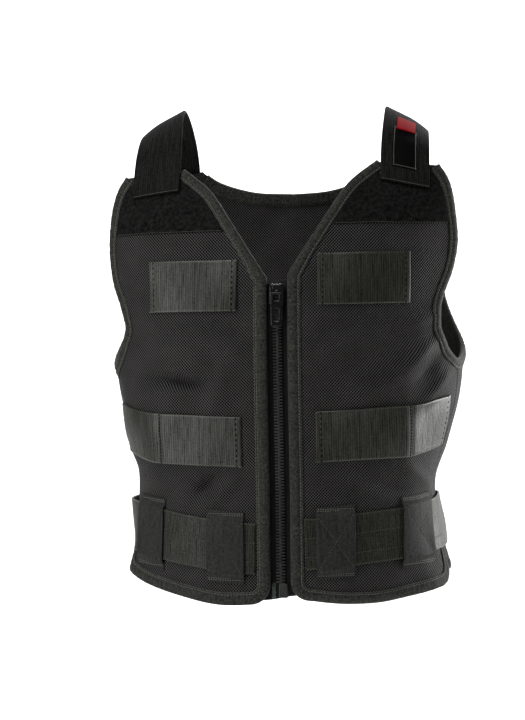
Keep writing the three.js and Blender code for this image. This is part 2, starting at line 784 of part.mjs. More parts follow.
function addStraps() {
  const whole = { from: 0, to: 1, middle: 0, width: STRAP_WIDTH, ...STRAP_CELLS };
  for (const { name, lay } of SIDES) {
    addPiece(`shoulder_strap_${name}`, strapSheet(lay.sign, whole, 0, STRAP_THICKNESS), 'strap');
  }
  const lift = STRAP_THICKNESS + LAYER_GAP;
  addPiece('strap_label', strapSheet(1, LABEL, lift, LABEL_THICKNESS), 'label');
  addPiece('label_tab', strapSheet(1, LABEL_TAB, lift, LABEL_THICKNESS), 'tab');
}

// Zip

// Group whose -Y looks out of the cloth and whose Z runs up it, on the front centre line
function zipGroup(z) {
  const up = torsoPoint(0, z + NORMAL_STEP).sub(torsoPoint(0, z - NORMAL_STEP));
  const group = new THREE.Group();
  group.position.copy(onTorso(0, z, 0));
  group.rotation.x = -Math.atan2(up.y, up.z);
  vest.add(group);
  return group;
}

// Plate drawn as seen from the front, from one lift to another
function facingPlate(shape, low, high) {
  const plate = new THREE.ExtrudeGeometry(shape, { depth: high - low, bevelEnabled: false });
  plate.rotateX(Math.PI / 2);
  plate.translate(0, -low, 0);
  return plate;
}

function chamferedRectangle(halfWidth, bottom, top, chamfer) {
  return new THREE.Shape([
    new THREE.Vector2(-halfWidth + chamfer, bottom),
    new THREE.Vector2(halfWidth - chamfer, bottom),
    new THREE.Vector2(halfWidth, bottom + chamfer),
    new THREE.Vector2(halfWidth, top - chamfer),
    new THREE.Vector2(halfWidth - chamfer, top),
    new THREE.Vector2(-halfWidth + chamfer, top),
    new THREE.Vector2(-halfWidth, top - chamfer),
    new THREE.Vector2(-halfWidth, bottom + chamfer),
  ]);
}

function rectangle(halfWidth, bottom, top) {
  return [
    new THREE.Vector2(-halfWidth, bottom),
    new THREE.Vector2(halfWidth, bottom),
    new THREE.Vector2(halfWidth, top),
    new THREE.Vector2(-halfWidth, top),
  ];
}

// Slider: a plate with two flanges that run beside the chain, and a bail over which the pull swings
function sliderSolid(plateFront) {
  const half = SLIDER_HEIGHT / 2;
  const outline = chamferedRectangle(SLIDER_WIDTH / 2, -half, half, SLIDER_CHAMFER);
  const body = toManifold(facingPlate(outline, CHAIN_BACK, plateFront));
  const channelHalf = CHAIN_HALF_WIDTH + CHANNEL_CLEARANCE;
  const channelShape = new THREE.Shape(rectangle(channelHalf, -SLIDER_HEIGHT, SLIDER_HEIGHT));
  const channelFront = CHAIN_FRONT + CHANNEL_CLEARANCE;
  const channel = toManifold(facingPlate(channelShape, CHAIN_BACK - SLIDER_PLATE, channelFront));
  const inner = BAIL_OPENING / 2;
  const outer = inner + BAIL_WALL;
  const top = BAIL_CLEAR_HEIGHT + BAIL_WALL;
  const sunk = -SLIDER_PLATE / 2;
  const arch = new THREE.Shape();
  arch.moveTo(-outer, sunk);
  arch.lineTo(-inner, sunk);
  arch.lineTo(-inner, BAIL_CLEAR_HEIGHT);
  arch.lineTo(inner, BAIL_CLEAR_HEIGHT);
  arch.lineTo(inner, sunk);
  arch.lineTo(outer, sunk);
  arch.lineTo(outer, top - BAIL_WALL);
  arch.lineTo(inner, top);
  arch.lineTo(-inner, top);
  arch.lineTo(-outer, top - BAIL_WALL);
  const bail = new THREE.ExtrudeGeometry(arch, { depth: BAIL_WIDTH, bevelEnabled: false });
  bail.translate(0, 0, -BAIL_WIDTH / 2);
  bail.applyMatrix4(new THREE.Matrix4().makeBasis(
    new THREE.Vector3(0, 0, 1),
    new THREE.Vector3(0, -1, 0),
    new THREE.Vector3(1, 0, 0),
  ));
  bail.translate(0, -plateFront, 0);
  return fromManifold(body.subtract(channel).add(toManifold(bail)));
}

// Pull: a flat tongue with a window for the bail and a slot lower down, hinged at its own origin
function pullSolid() {
  const half = PULL_BAR / 2;
  const shape = chamferedRectangle(PULL_WIDTH / 2, half - PULL_LENGTH, half, PULL_CORNER);
  const window = rectangle(PULL_WINDOW.halfWidth, -half - PULL_WINDOW.length, -half);
  const slot = rectangle(PULL_SLOT.halfWidth, PULL_SLOT.bottom, PULL_SLOT.top);
  shape.holes.push(new THREE.Path(window), new THREE.Path(slot));
  return facingPlate(shape, -half, half);
}

// Rows of flat points going up between two heights, one point at each given place
function uprightGrid(places, bottom, top, cells) {
  const grid = [];
  for (let r = 0; r <= cells; r++) {
    const z = THREE.MathUtils.lerp(bottom, top, r / cells);
    grid.push(places.map((u) => new THREE.Vector2(u, z)));
  }
  return grid;
}

function addZip() {
  for (const { name, lay } of SIDES) {
    const tape = uprightGrid([TAPE_INNER_U, TAPE_OUTER_U], ZIP_BOTTOM_Z, ZIP_TOP_Z, ZIP_CELLS);
    addPiece(`zip_tape_${name}`, clothSolid(tape, lay, TAPE_LIFT, TAPE_THICKNESS), 'zipTape');
  }
  const chainBottom = BOX_Z + BOX_SIZE.height / 2 + LAYER_GAP;
  const chain = uprightGrid([-CHAIN_HALF_WIDTH, CHAIN_HALF_WIDTH], chainBottom, SLIDER_Z, ZIP_CELLS);
  const chainSolid = clothSolid(chain, sideLay(1), CHAIN_BACK, CHAIN_FRONT - CHAIN_BACK);
  addPiece('zip_chain', chainSolid, 'zipPlastic');

  const plateFront = CHAIN_FRONT + CHANNEL_CLEARANCE + SLIDER_PLATE;
  const slider = zipGroup(SLIDER_Z);
  addPiece('zip_slider', sliderSolid(plateFront), 'zipMetal', slider);
  const pull = addPiece('zip_pull', pullSolid(), 'zipMetal', slider);
  pull.position.y = -plateFront - BAIL_CLEAR_HEIGHT / 2;

  const foot = zipGroup(BOX_Z);
  const boxHalf = BOX_SIZE.height / 2;
  const boxShape = chamferedRectangle(BOX_SIZE.width / 2, -boxHalf, boxHalf, BOX_SIZE.chamfer);
  const boxSolid = facingPlate(boxShape, CHAIN_BACK, CHAIN_BACK + BOX_SIZE.depth);
  const box = addPiece('zip_box', boxSolid, 'zipPlastic', foot);
  box.position.x = BOX_U;

  const film = uprightGrid([FILM.innerU, FILM.outerU], FILM.bottom, FILM.top, 1);
  addPiece('zip_end_film', clothSolid(film, sideLay(-1), CHAIN_BACK, FILM.thickness), 'film');
}

addPanels();
addWebbing();
addBelt();
addYokes();
addStraps();
addZip();

export default vest;
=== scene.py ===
# %% [markdown]
# # A zip-front tool vest
# The vest hangs as if it were worn: two front halves of padded mesh, a plain back, taped edges, sewn
# webbing, a belt in loops, hook-and-loop straps over the shoulders and a zip down the middle.
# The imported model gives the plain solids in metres, with +Z up, the front towards -Y and +X towards the
# wearer's left. Each soft solid is replaced here by a finer piece in the same place.

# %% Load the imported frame
import math

import bmesh
import bpy
import numpy as np
from mathutils import Matrix, Vector


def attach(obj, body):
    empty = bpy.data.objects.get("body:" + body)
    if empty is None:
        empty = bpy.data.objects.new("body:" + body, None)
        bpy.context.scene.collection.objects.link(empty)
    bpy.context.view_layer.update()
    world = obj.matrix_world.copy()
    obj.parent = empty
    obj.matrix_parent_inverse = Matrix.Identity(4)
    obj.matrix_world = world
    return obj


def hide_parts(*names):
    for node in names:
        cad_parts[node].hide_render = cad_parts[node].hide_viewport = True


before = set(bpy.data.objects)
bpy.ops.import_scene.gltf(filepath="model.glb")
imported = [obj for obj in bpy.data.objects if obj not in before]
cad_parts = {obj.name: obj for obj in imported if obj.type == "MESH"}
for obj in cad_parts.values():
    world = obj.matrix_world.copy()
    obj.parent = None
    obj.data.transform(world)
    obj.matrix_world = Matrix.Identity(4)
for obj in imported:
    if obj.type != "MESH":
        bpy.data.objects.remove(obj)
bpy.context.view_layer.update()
scene = bpy.context.scene
scene.view_settings.view_transform = "Standard"
MM = 0.001

# %% [markdown]
# ## The camera
# The picture was taken from chest height, a little to the wearer's left, with a long lens. Aiming the
# camera slightly down and to one side gives the same framing as shifting the lens would, and keeps the
# other views centred. The small roll is the tilt of the picture.

# %% Camera
PICTURE_HEIGHT, FOCAL_PIXELS, SENSOR = 720, 1790, 36
EYE_DISTANCE, EYE_HEIGHT, EYE_AZIMUTH = 1.9, -0.179, math.radians(4.5)
FRONT_DISTANCE = 1.78
AIM_RIGHT_PIXELS, AIM_UP_PIXELS = -24.8, -70
ROLL = math.radians(-0.7)


def add_object(name, data):
    """A new object in the scene that holds this data."""
    item = bpy.data.objects.new(name, data)
    scene.collection.objects.link(item)
    return item


def facing(place, aim):
    """The matrix of a camera or a lamp at a place, looking at its aim."""
    turn = (Vector(aim) - Vector(place)).to_track_quat("-Z", "Y").to_matrix().to_4x4()
    return Matrix.Translation(place) @ turn


def make_camera():
    ahead = Vector((-math.sin(EYE_AZIMUTH), math.cos(EYE_AZIMUTH), 0))
    right = Vector((math.cos(EYE_AZIMUTH), math.sin(EYE_AZIMUTH), 0))
    eye = -EYE_DISTANCE * ahead + Vector((0, 0, EYE_HEIGHT))
    pixel = FRONT_DISTANCE / FOCAL_PIXELS
    aim = eye + FRONT_DISTANCE * ahead + AIM_RIGHT_PIXELS * pixel * right
    aim.z += AIM_UP_PIXELS * pixel
    data = bpy.data.cameras.new("camera")
    data.sensor_width = SENSOR
    data.lens = SENSOR * FOCAL_PIXELS / PICTURE_HEIGHT
    camera = add_object("camera", data)
    camera.matrix_world = facing(eye, aim) @ Matrix.Rotation(ROLL, 4, "Z")
    scene.camera = camera
    return camera


camera = make_camera()
print("lens", round(camera.data.lens, 1), "mm")

# %% [markdown]
# ## Cloth on a body
# Each piece of cloth is drawn flat, in millimetres: u runs round the body from the front centre line and
# z is the height. A table of level sections gives the body form, and wrap() lays flat points on it with a
# lift outwards. Folds are added to the lift, so all the layers sewn on a panel fold together.

# %% The body form
TORSO = np.array([
    # z, half width, front depth, back depth, squareness
    (-510, 168, 113, 98, 2.35),
    (-473, 168, 114, 98, 2.35),
    (-435, 162, 114, 96, 2.35),
    (-380, 156, 113, 94, 2.3),
    (-341, 167, 117, 99, 2.3),
    (-300, 178, 121, 106, 2.3),
    (-255, 183, 123, 112, 2.3),
    (-200, 188, 121, 117, 2.3),
    (-150, 193, 110, 119, 2.35),
    (-100, 195, 91, 116, 2.4),
    (-60, 192, 69, 106, 2.4),
    (-30, 186, 48, 92, 2.4),
    (10, 178, 18, 60, 2.4),
])
SECTION_STEPS = 240
SHARE_STEPS = 600
FORM_Z = np.arange(-510, 10.5, 1.0)


def table_at(z):
    """Cubic through the rows of the table, with straight ends."""
    rows, heights = TORSO[:, 1:], TORSO[:, 0]
    high = np.clip(np.searchsorted(heights, z, "right"), 1, len(heights) - 1)
    low = high - 1
    before = np.where(low > 0, low - 1, high)
    after = np.where(high < len(heights) - 1, high + 1, low)
    span = heights[high] - heights[low]
    w_before = (span / 2 / (heights[low] - heights[before]))[:, None]
    w_after = (span / 2 / (heights[after] - heights[high]))[:, None]
    p = ((z - heights[low]) / span)[:, None]
    return (
        rows[before] * w_before * (-(p**3) + 2 * p**2 - p)
        + rows[low] * ((1 + w_before) * p**3 - (1.5 + 2 * w_before) * p**2 + (w_before - 0.5) * p + 1)
        + rows[high] * (-(1 + w_after) * p**3 + (1.5 + w_after) * p**2 + 0.5 * p)
        + rows[after] * w_after * (p**3 - p**2)
    )


def make_form():
    """Half sections at even shares of their length, and each half girth."""
    width, front, back, square = (table_at(FORM_Z)[:, i, None] for i in range(4))
    turn = np.linspace(0, math.pi, SECTION_STEPS + 1)[None]
    across = np.clip(np.sin(turn), 0, None) ** (2 / square)
    deep = np.abs(np.cos(turn)) ** (2 / square)
    x = width * across
    y = np.where(np.cos(turn) > 0, -front * deep, back * deep)
    steps = np.hypot(np.diff(x, axis=1), np.diff(y, axis=1))
    run = np.concatenate([np.zeros((len(x), 1)), np.cumsum(steps, axis=1)], axis=1)
    share = np.linspace(0, 1, SHARE_STEPS + 1)
    even_x = np.array([np.interp(share * r[-1], r, row) for r, row in zip(run, x)])
    even_y = np.array([np.interp(share * r[-1], r, row) for r, row in zip(run, y)])
    return even_x, even_y, run[:, -1]


FORM_X, FORM_Y, FORM_HALF = make_form()


def half_girth(z):
    return np.interp(z, FORM_Z, FORM_HALF)


def wrapped(u, z):
    """A place past the back centre line counts from the other side."""
    half = half_girth(z)
    return np.where(u > half, u - 2 * half, np.where(u < -half, u + 2 * half, u))


def looked_up(table, row, column):
    """A table at places between its rows and columns."""
    r, c = np.minimum(row.astype(int), len(table) - 2), np.minimum(column.astype(int), len(table[0]) - 2)
    dr, dc = row - r, column - c
    if table.ndim > 2:
        dr, dc = dr[..., None], dc[..., None]
    low = table[r, c] * (1 - dc) + table[r, c + 1] * dc
    high = table[r + 1, c] * (1 - dc) + table[r + 1, c + 1] * dc
    return low * (1 - dr) + high * dr


def form_point(u, z):
    place = wrapped(u, z)
    row = np.clip((z - FORM_Z[0]) / (FORM_Z[1] - FORM_Z[0]), 0, len(FORM_Z) - 1.001)
    column = np.clip(np.abs(place) / half_girth(z) * SHARE_STEPS, 0, SHARE_STEPS - 0.001)
    x, y = (looked_up(table, row, column) for table in (FORM_X, FORM_Y))
    return np.stack([np.sign(place) * x, y, z], axis=-1)


print("girth at the chest", round(2 * float(half_girth(-200))), "mm")

# %% [markdown]
# ## Folds
# Worn cloth is never a clean surface of revolution. A cloth simulation could find folds of its own, but
# these have known places, so each is a row of a table: a long bell-shaped swell or dent. The broad ones
# are those of the solids; the finer creases run from the armpits and across the waist, as tension lines
# do. A slow ripple keeps the panels from looking machined.

# %% Folds and wrap
FOLDS = np.array([
    # u, z, half length, half width, turn in degrees from level, height
    (128, -258, 36, 17, 35, 3.5),
    (-100, -273, 42, 16, -4, -3),
    (-112, -240, 34, 17, -30, 3),
    (-74, -380, 26, 15, 50, -2.5),
    (200, -484, 50, 22, 0, 5),
    (-200, -484, 50, 22, 0, 4),
    # creases at the left armpit
    (146, -215, 22, 7, 12, 4.6),
    (161, -230, 18, 7, 20, -2.6),
    (142, -250, 24, 8, 35, 5.2),
    (158, -263, 21, 8, 32, -5.6),
    (168, -282, 28, 7, 36, 5.4),
    (134, -330, 70, 25, 90, 3.0),
    (130, -325, 42, 12, 90, 1.9),
    (112, -238, 32, 8, 20, -3),
    (96, -282, 38, 9, 28, 2.6),
    (70, -262, 34, 9, 24, -2.2),
    # creases across the right half
    (-98, -268, 25, 4.6, -6, -7.5),
    (-104, -279, 34, 6, -6, 3.0),
    (-104, -256, 30, 6, -4, 2.6),
    (-58, -270, 36, 11, 68, 3.4),
    (-74, -372, 20, 5.8, 39, -7),
    (-62, -384, 20, 7, 42, 3.2),
    (-205, -335, 20, 8, 0, -2.5),
    (-133, -330, 70, 25, 90, 3.0),
    (-150, -222, 34, 8, -24, -2.0),
    (-128, -206, 30, 7, -14, 1.6),
    # the narrow waist of the sides
    (208, -397, 62, 32, 90, -4.5),
    (-222, -288, 56, 30, 90, -8),
    (-206, -360, 14, 28, 90, -3),
    (-210, -444, 38, 36, 90, -5),
    (-236, -482, 26, 26, 0, -6),
    (234, -480, 26, 26, 0, -6),
    # slack above the belt and beside the zip
    (118, -384, 34, 8, -12, -2.6),
    (70, -374, 40, 9, -24, 2.2),
    (150, -372, 30, 7, -30, 2.2),
    (-130, -386, 34, 7, 14, -2.6),
    (-30, -300, 46, 9, 84, 1.0),
    (32, -250, 50, 9, 86, 0.9),
    (85, -503, 78, 14, -5, -8),
    (-80, -501, 78, 16, 5, 3.5),
    (-158, -440, 26, 8, 70, -1.4),
    (158, -446, 26, 8, -70, -1.4),
])
RIPPLES = np.array([
    # turns per metre round and up, phase, height
    (9.0, 5.0, 0.4, 0.5),
    (-6.0, 13.0, 1.9, 0.4),
    (17.0, -8.0, 4.1, 0.28),
])
TURN = 2 * math.pi
LEAN, LEAN_FULL_Z, LEAN_NONE_Z = 0.010, -170, -430
ZIP_OFFSET, OFFSET_WIDTH, OFFSET_FADE = 2.4, 12, (0.45, 0.8)
NORMAL_STEP, QUIET_EDGE = 4, (14, 40)


def smoothstep(value, low, high):
    share = np.clip((value - low) / (high - low), 0, 1)
    return share * share * (3 - 2 * share)


def ridge(value, centre, width, height=1.0):
    """The height at the centre, falling off to nothing on both sides like a bell."""
    return height * np.exp(-(((value - centre) / width) ** 2))


def fold_height(u, z):
    place = wrapped(u, z)
    height = np.zeros_like(place)
    for centre, level, length, width, turn, rise in FOLDS:
        c, s = math.cos(math.radians(turn)), math.sin(math.radians(turn))
        along = (place - centre) * c + (z - level) * s
        across = (z - level) * c - (place - centre) * s
        height = height + ridge(along, 0, length, rise) * ridge(across, 0, width)
    quiet = smoothstep(np.abs(place), *QUIET_EDGE)
    for round_turns, up_turns, phase, rise in RIPPLES:
        wave = np.sin(TURN * MM * (round_turns * place + up_turns * z) + phase)
        height = height + rise * quiet * wave
    return height


def wrap(u, z, lift):
    """Flat places lifted outwards from the body form, as points in millimetres."""
    u, z, lift = np.broadcast_arrays(*(np.asarray(v, float) for v in (u, z, lift)))
    along = form_point(u + NORMAL_STEP, z) - form_point(u - NORMAL_STEP, z)
    up = form_point(u, z + NORMAL_STEP) - form_point(u, z - NORMAL_STEP)
    normal = np.cross(along, up)
    normal /= np.linalg.norm(normal, axis=-1, keepdims=True)
    points = form_point(u, z) + normal * (lift + fold_height(u, z))[..., None]
    points[..., 2] += LEAN * points[..., 0] * smoothstep(points[..., 2], LEAN_NONE_Z, LEAN_FULL_Z)
    place = wrapped(u, z)
    front = 1 - smoothstep(np.abs(place) / half_girth(z), *OFFSET_FADE)
    points[..., 2] += ZIP_OFFSET * np.tanh(place / OFFSET_WIDTH) * front
    return points


class Lay:
    """A way of laying flat cloth: on one side from the front centre line, or on the back."""

    def __init__(self, name, sign=1, back=False):
        self.name, self.sign, self.back = name, sign, back

    def place(self, flat, lift):
        u, z = flat[..., 0], flat[..., 1]
        return wrap(half_girth(z) + u if self.back else self.sign * u, z, lift)


SIDES = [Lay("right", -1), Lay("left", 1)]
BACK = Lay("back", back=True)
print("front centre at the chest", np.round(wrap(0.0, -200.0, 3.0), 1))

# %% [markdown]
# ## Colours and nodes
# Colours are written as sRGB hex values, as a paint chart would give them, and one function turns them
# into the linear values that shaders use. One more adds a node with its settings and connects its inputs.

# %% Colour and node helpers
def linear(code):
    parts = [int(code[i : i + 2], 16) / 255 for i in (1, 3, 5)]
    curve = [p / 12.92 if p <= 0.04045 else ((p + 0.055) / 1.055) ** 2.4 for p in parts]
    return (*curve, 1.0)


def connect(tree, node, inputs):
    """Links an input that is given a node or a socket, and writes any other value into it."""
    for name, value in inputs.items():
        if isinstance(value, bpy.types.Node):
            value = value.outputs[0]
        if isinstance(value, bpy.types.NodeSocket):
            tree.links.new(value, node.inputs[name])
        else:
            node.inputs[name].default_value = value


def add_node(tree, kind, inputs=None, **settings):
    node = tree.nodes.new(kind)
    for name, value in settings.items():
        setattr(node, name, value)
    connect(tree, node, inputs or {})
    return node


def start_material(name, **sockets):
    material = bpy.data.materials.new(name)
    material.use_nodes = True
    tree = material.node_tree
    shader = tree.nodes["Principled BSDF"]
    connect(tree, shader, {socket.replace("_", " "): value for socket, value in sockets.items()})
    return material, tree, shader


def per_mm(size):
    """Turns of a pattern for each metre of cloth, when one repeat is this many millimetres."""
    return 1 / (size * MM)


CLOTH_MAP = "cloth"
WEB_WIDTH = 51.0
print("helpers ready, mid grey is", round(linear("#808080")[0], 3))

# %% [markdown]
# ## Padded air mesh
# The panels are a warp-knitted polyester spacer mesh: matt dark grey threads around staggered round
# holes. The holes are painted near black: the black inner layer, with painted shade for their depth. Two
# sloping cosine waves give the staggered holes at their true spacing, one slope stronger as in knitting,
# and the same wave drives the bump.
# Real threads are finer than a pixel, so only the holes and a slow unevenness are drawn.

# %% Air mesh material
HOLE_PITCH, SECOND_SLOPE, HOLE_RIM = (3.0, 3.2), 0.56, (-0.28, 0.22)
MESH_PATCHES, MESH_RELIEF = 28, 0.8


def make_air_mesh():
    """Matt grey lattice over holes painted black, for the inner layer and as painted shade, which reads as
    a dark grey with a grain from further off.
    """
    material, tree, shader = start_material(
        "air_mesh_polyester", Roughness=0.55, Sheen_Weight=0.02, Sheen_Roughness=0.4,
        Sheen_Tint=linear("#b8b8b4"),
    )
    flat = add_node(tree, "ShaderNodeUVMap", uv_map=CLOTH_MAP)
    turns = (TURN * per_mm(HOLE_PITCH[0]), TURN * per_mm(HOLE_PITCH[1]), 0)
    angle = add_node(tree, "ShaderNodeVectorMath", {0: flat, 1: turns}, operation="MULTIPLY")
    parts = add_node(tree, "ShaderNodeSeparateXYZ", {0: angle})
    waves = []
    for way in ("ADD", "SUBTRACT"):
        both = {0: parts.outputs[0], 1: parts.outputs[1]}
        sloped = add_node(tree, "ShaderNodeMath", both, operation=way)
        waves.append(add_node(tree, "ShaderNodeMath", {0: sloped}, operation="COSINE"))
    lattice = add_node(tree, "ShaderNodeMix", {0: SECOND_SLOPE, 2: waves[0], 3: waves[1]})
    hole = add_node(
        tree, "ShaderNodeMapRange", {0: lattice, 1: HOLE_RIM[0], 2: HOLE_RIM[1]},
        interpolation_type="SMOOTHSTEP",
    )
    uneven = add_node(
        tree, "ShaderNodeTexNoise", {"Vector": flat, "Scale": per_mm(MESH_PATCHES), "Detail": 4.0}
    )
    greys = {0: uneven, 6: linear("#383737"), 7: linear("#535151")}
    thread = add_node(tree, "ShaderNodeMix", greys, data_type="RGBA")
    # The holes are painted near black: the black inner layer, and painted shade for the depth of each hole.
    seen = {0: hole, 6: thread.outputs[2], 7: linear("#010101")}
    colour = add_node(tree, "ShaderNodeMix", seen, data_type="RGBA")
    gloss = add_node(tree, "ShaderNodeMapRange", {0: hole, 3: 0.12, 4: 0.0})
    raised = add_node(tree, "ShaderNodeMath", {0: 1.0, 1: hole}, operation="SUBTRACT")
    relief = {"Strength": 0.6, "Distance": MESH_RELIEF * MM, "Height": raised}
    bump = add_node(tree, "ShaderNodeBump", relief)
    connect(tree, shader, {"Base Color": colour.outputs[2], "Specular IOR Level": gloss, "Normal": bump})
    return material


AIR_MESH = make_air_mesh()
print("made", AIR_MESH.name)

# %% [markdown]
# ## Woven tapes
# Binding, webbing, strap, loops and zip tape are all narrow woven goods. What differs is the weave: the
# webbing and the strap are ribbed straight across, the binding and the zip tape show a herringbone, the
# loops, the patch and the tab a plain weave. One function takes the weave as a direction rule and a real
# thread spacing drawn coarse enough to show, and adds a streak along the threads, because no two yarns
# take dye alike.

# %% Woven materials
YARN_STRETCH, CHEVRON_RIBS = 14, 4
DYE_RANGE, FIBRE_RANGE = (0.36, 0.64), (0.34, 0.66)


def make_woven(
    name, dark, light, weave, pitch, streak, contrast, fuzz, bump_depth,
    selvedges=(), shine=None, grain=2.2, **sockets,
):
    """weave is ribbed, herringbone or plain; the sizes and the places of selvedges are millimetres; each
    selvedge gets a painted highlight.
    """
    material, tree, shader = start_material(name, **sockets)
    flat = add_node(tree, "ShaderNodeUVMap", uv_map=CLOTH_MAP)
    turns = (TURN * per_mm(pitch),) * 3
    scaled = add_node(tree, "ShaderNodeVectorMath", {0: flat, 1: turns}, operation="MULTIPLY")
    parts = add_node(tree, "ShaderNodeSeparateXYZ", {0: scaled})
    along, across = parts.outputs[0], parts.outputs[1]
    if weave == "herringbone":
        there_and_back = {0: across, 1: TURN * CHEVRON_RIBS}
        turned = add_node(tree, "ShaderNodeMath", there_and_back, operation="PINGPONG")
        along = add_node(tree, "ShaderNodeMath", {0: along, 1: turned}, operation="ADD")
    wave = add_node(tree, "ShaderNodeMath", {0: along}, operation="COSINE")
    if weave == "plain":
        other = add_node(tree, "ShaderNodeMath", {0: across}, operation="COSINE")
        wave = add_node(tree, "ShaderNodeMath", {0: wave, 1: other}, operation="MULTIPLY")
    rib = add_node(tree, "ShaderNodeMapRange", {0: wave, 1: -1.0, 2: 1.0})
    stretch = (per_mm(streak), per_mm(streak * YARN_STRETCH), per_mm(streak))
    yarn = add_node(tree, "ShaderNodeVectorMath", {0: flat, 1: stretch}, operation="MULTIPLY")
    dye = add_node(
        tree, "ShaderNodeTexNoise", {"Vector": yarn, "Scale": 1.0, "Detail": 5.0, "Roughness": 0.7}
    )
    shade = add_node(tree, "ShaderNodeMapRange", {0: dye, 1: DYE_RANGE[0], 2: DYE_RANGE[1]})
    mixed = add_node(tree, "ShaderNodeMix", {0: contrast, 2: shade, 3: rib}, data_type="FLOAT")
    fibre = add_node(tree, "ShaderNodeTexNoise", {"Vector": flat, "Scale": per_mm(grain), "Detail": 3.0})
    loose = add_node(tree, "ShaderNodeMapRange", {0: fibre, 1: FIBRE_RANGE[0], 2: FIBRE_RANGE[1]})
    tone = add_node(tree, "ShaderNodeMix", {0: fuzz, 2: mixed, 3: loose}, data_type="FLOAT")
    # Each selvedge entry paints a highlight, a lighter band along that place that fades out over its width.
    for middle, width, share in selvedges:
        place = add_node(tree, "ShaderNodeSeparateXYZ", {0: flat})
        from_middle = {0: place.outputs[1], 1: middle * MM}
        off = add_node(tree, "ShaderNodeMath", from_middle, operation="SUBTRACT")
        away = add_node(tree, "ShaderNodeMath", {0: off}, operation="ABSOLUTE")
        painted_highlight = add_node(tree, "ShaderNodeMapRange", {0: away, 1: 0.0, 2: width * MM, 3: share, 4: 0.0})
        tone = add_node(tree, "ShaderNodeMath", {0: tone, 1: painted_highlight}, operation="ADD")
    dyed = {0: tone, 6: linear(dark), 7: linear(light)}
    colour = add_node(tree, "ShaderNodeMix", dyed, data_type="RGBA", clamp_factor=False)
    bump = add_node(tree, "ShaderNodeBump", {"Strength": 0.6, "Distance": bump_depth * MM, "Height": tone})
    connect(tree, shader, {"Base Color": colour.outputs[2], "Normal": bump})
    if shine:
        gloss = add_node(tree, "ShaderNodeMapRange", {0: tone, 3: shine[0], 4: shine[1]})
        connect(tree, shader, {"Specular IOR Level": gloss})
    return material


# The webbing's weave; its two selvedges carry a painted highlight, a lighter band along each edge.
WEB_WEAVE = dict(
    weave="ribbed", pitch=2.3, streak=2.0, contrast=0.4, bump_depth=0.3,
    selvedges=[(0.9, 1.1, 0.4), (WEB_WIDTH - 0.9, 1.1, 0.4)],
)
# Matt tape with a soft grain, with a painted highlight along both edges: its inner edge and the crown of
# its fold
BINDING = make_woven(
    "polyester_binding_tape", "#030303", "#42423e", "herringbone", 2.6, streak=3, contrast=0.35, fuzz=0.6,
    bump_depth=0.6, selvedges=[(0.8, 1.0, 0.6), (15.2, 1.8, 0.5)], grain=2.4, Roughness=0.7,
    Specular_IOR_Level=0.12,
)
# Nylon filament: near black with an olive cast, and a grey sheen on its ribs where it turns to a lamp
WEBBING = make_woven(
    "nylon_webbing", "#040402", "#282a1d", fuzz=0.25, grain=2.0, shine=(0.06, 0.95), Roughness=0.45,
    **WEB_WEAVE,
)
# The same weave rubbed dull, so less of the sheen is left
BELT = make_woven(
    "worn_belt_webbing", "#030302", "#33342b", fuzz=0.35, grain=2.2, shine=(0.06, 0.38), Roughness=0.5,
    **WEB_WEAVE,
)
# Dull, even and slightly hairy
CANVAS = make_woven(
    "woven_canvas", "#060606", "#3a3a39", "plain", 3.2, streak=2.6, contrast=0.5, fuzz=0.35, bump_depth=0.4,
    grain=3.0, Roughness=0.7, Specular_IOR_Level=0.15,
)
# A dense tape that gives back almost no light, with only its ribs showing
STRAP = make_woven(
    "close_woven_strap", "#000000", "#282827", "ribbed", 2.5, streak=3, contrast=0.35, fuzz=0.3,
    bump_depth=0.5, grain=3.0, Roughness=0.7, Specular_IOR_Level=0.03,
)
# Fine and flat, darker than the teeth on it
ZIP_TAPE = make_woven(
    "zip_tape_polyester", "#050505", "#151514", "herringbone", 1.8, streak=6, contrast=0.5, fuzz=0.2,
    bump_depth=0.2, Roughness=0.75, Specular_IOR_Level=0.2,
)
# The deepest black of the vest, nearly without grain
PATCH = make_woven(
    "woven_patch", "#030303", "#0b0b0b", "plain", 1.6, streak=8, contrast=0.5, fuzz=0.2, bump_depth=0.15,
    Roughness=0.6, Specular_IOR_Level=0.04,
)
# The one colour of the vest, a matt red
TAB = make_woven(
    "red_woven_tab", "#72060b", "#9c0d16", "plain", 1.6, streak=8, contrast=0.4, fuzz=0.2, bump_depth=0.15,
    Roughness=0.65, Specular_IOR_Level=0.06,
)
print("woven materials", [m.name for m in (BINDING, WEBBING, BELT, CANVAS, STRAP, ZIP_TAPE, PATCH, TAB)])

# %% [markdown]
# ## Pile, thread, plastic and lacquer
# The yokes are the loop half of a hook-and-loop fastener, a felt of nylon loops that swallows light. The
# sewing thread is a slightly shiny polyester. The zip teeth are moulded acetal, the slider and its pull
# are zinc under a glossy black lacquer, and the end of the zip tape is stiffened with a clear film.

# %% Pile, thread, plastic and lacquer materials
NOISE_LOW, NOISE_HIGH = 0.3, 0.7


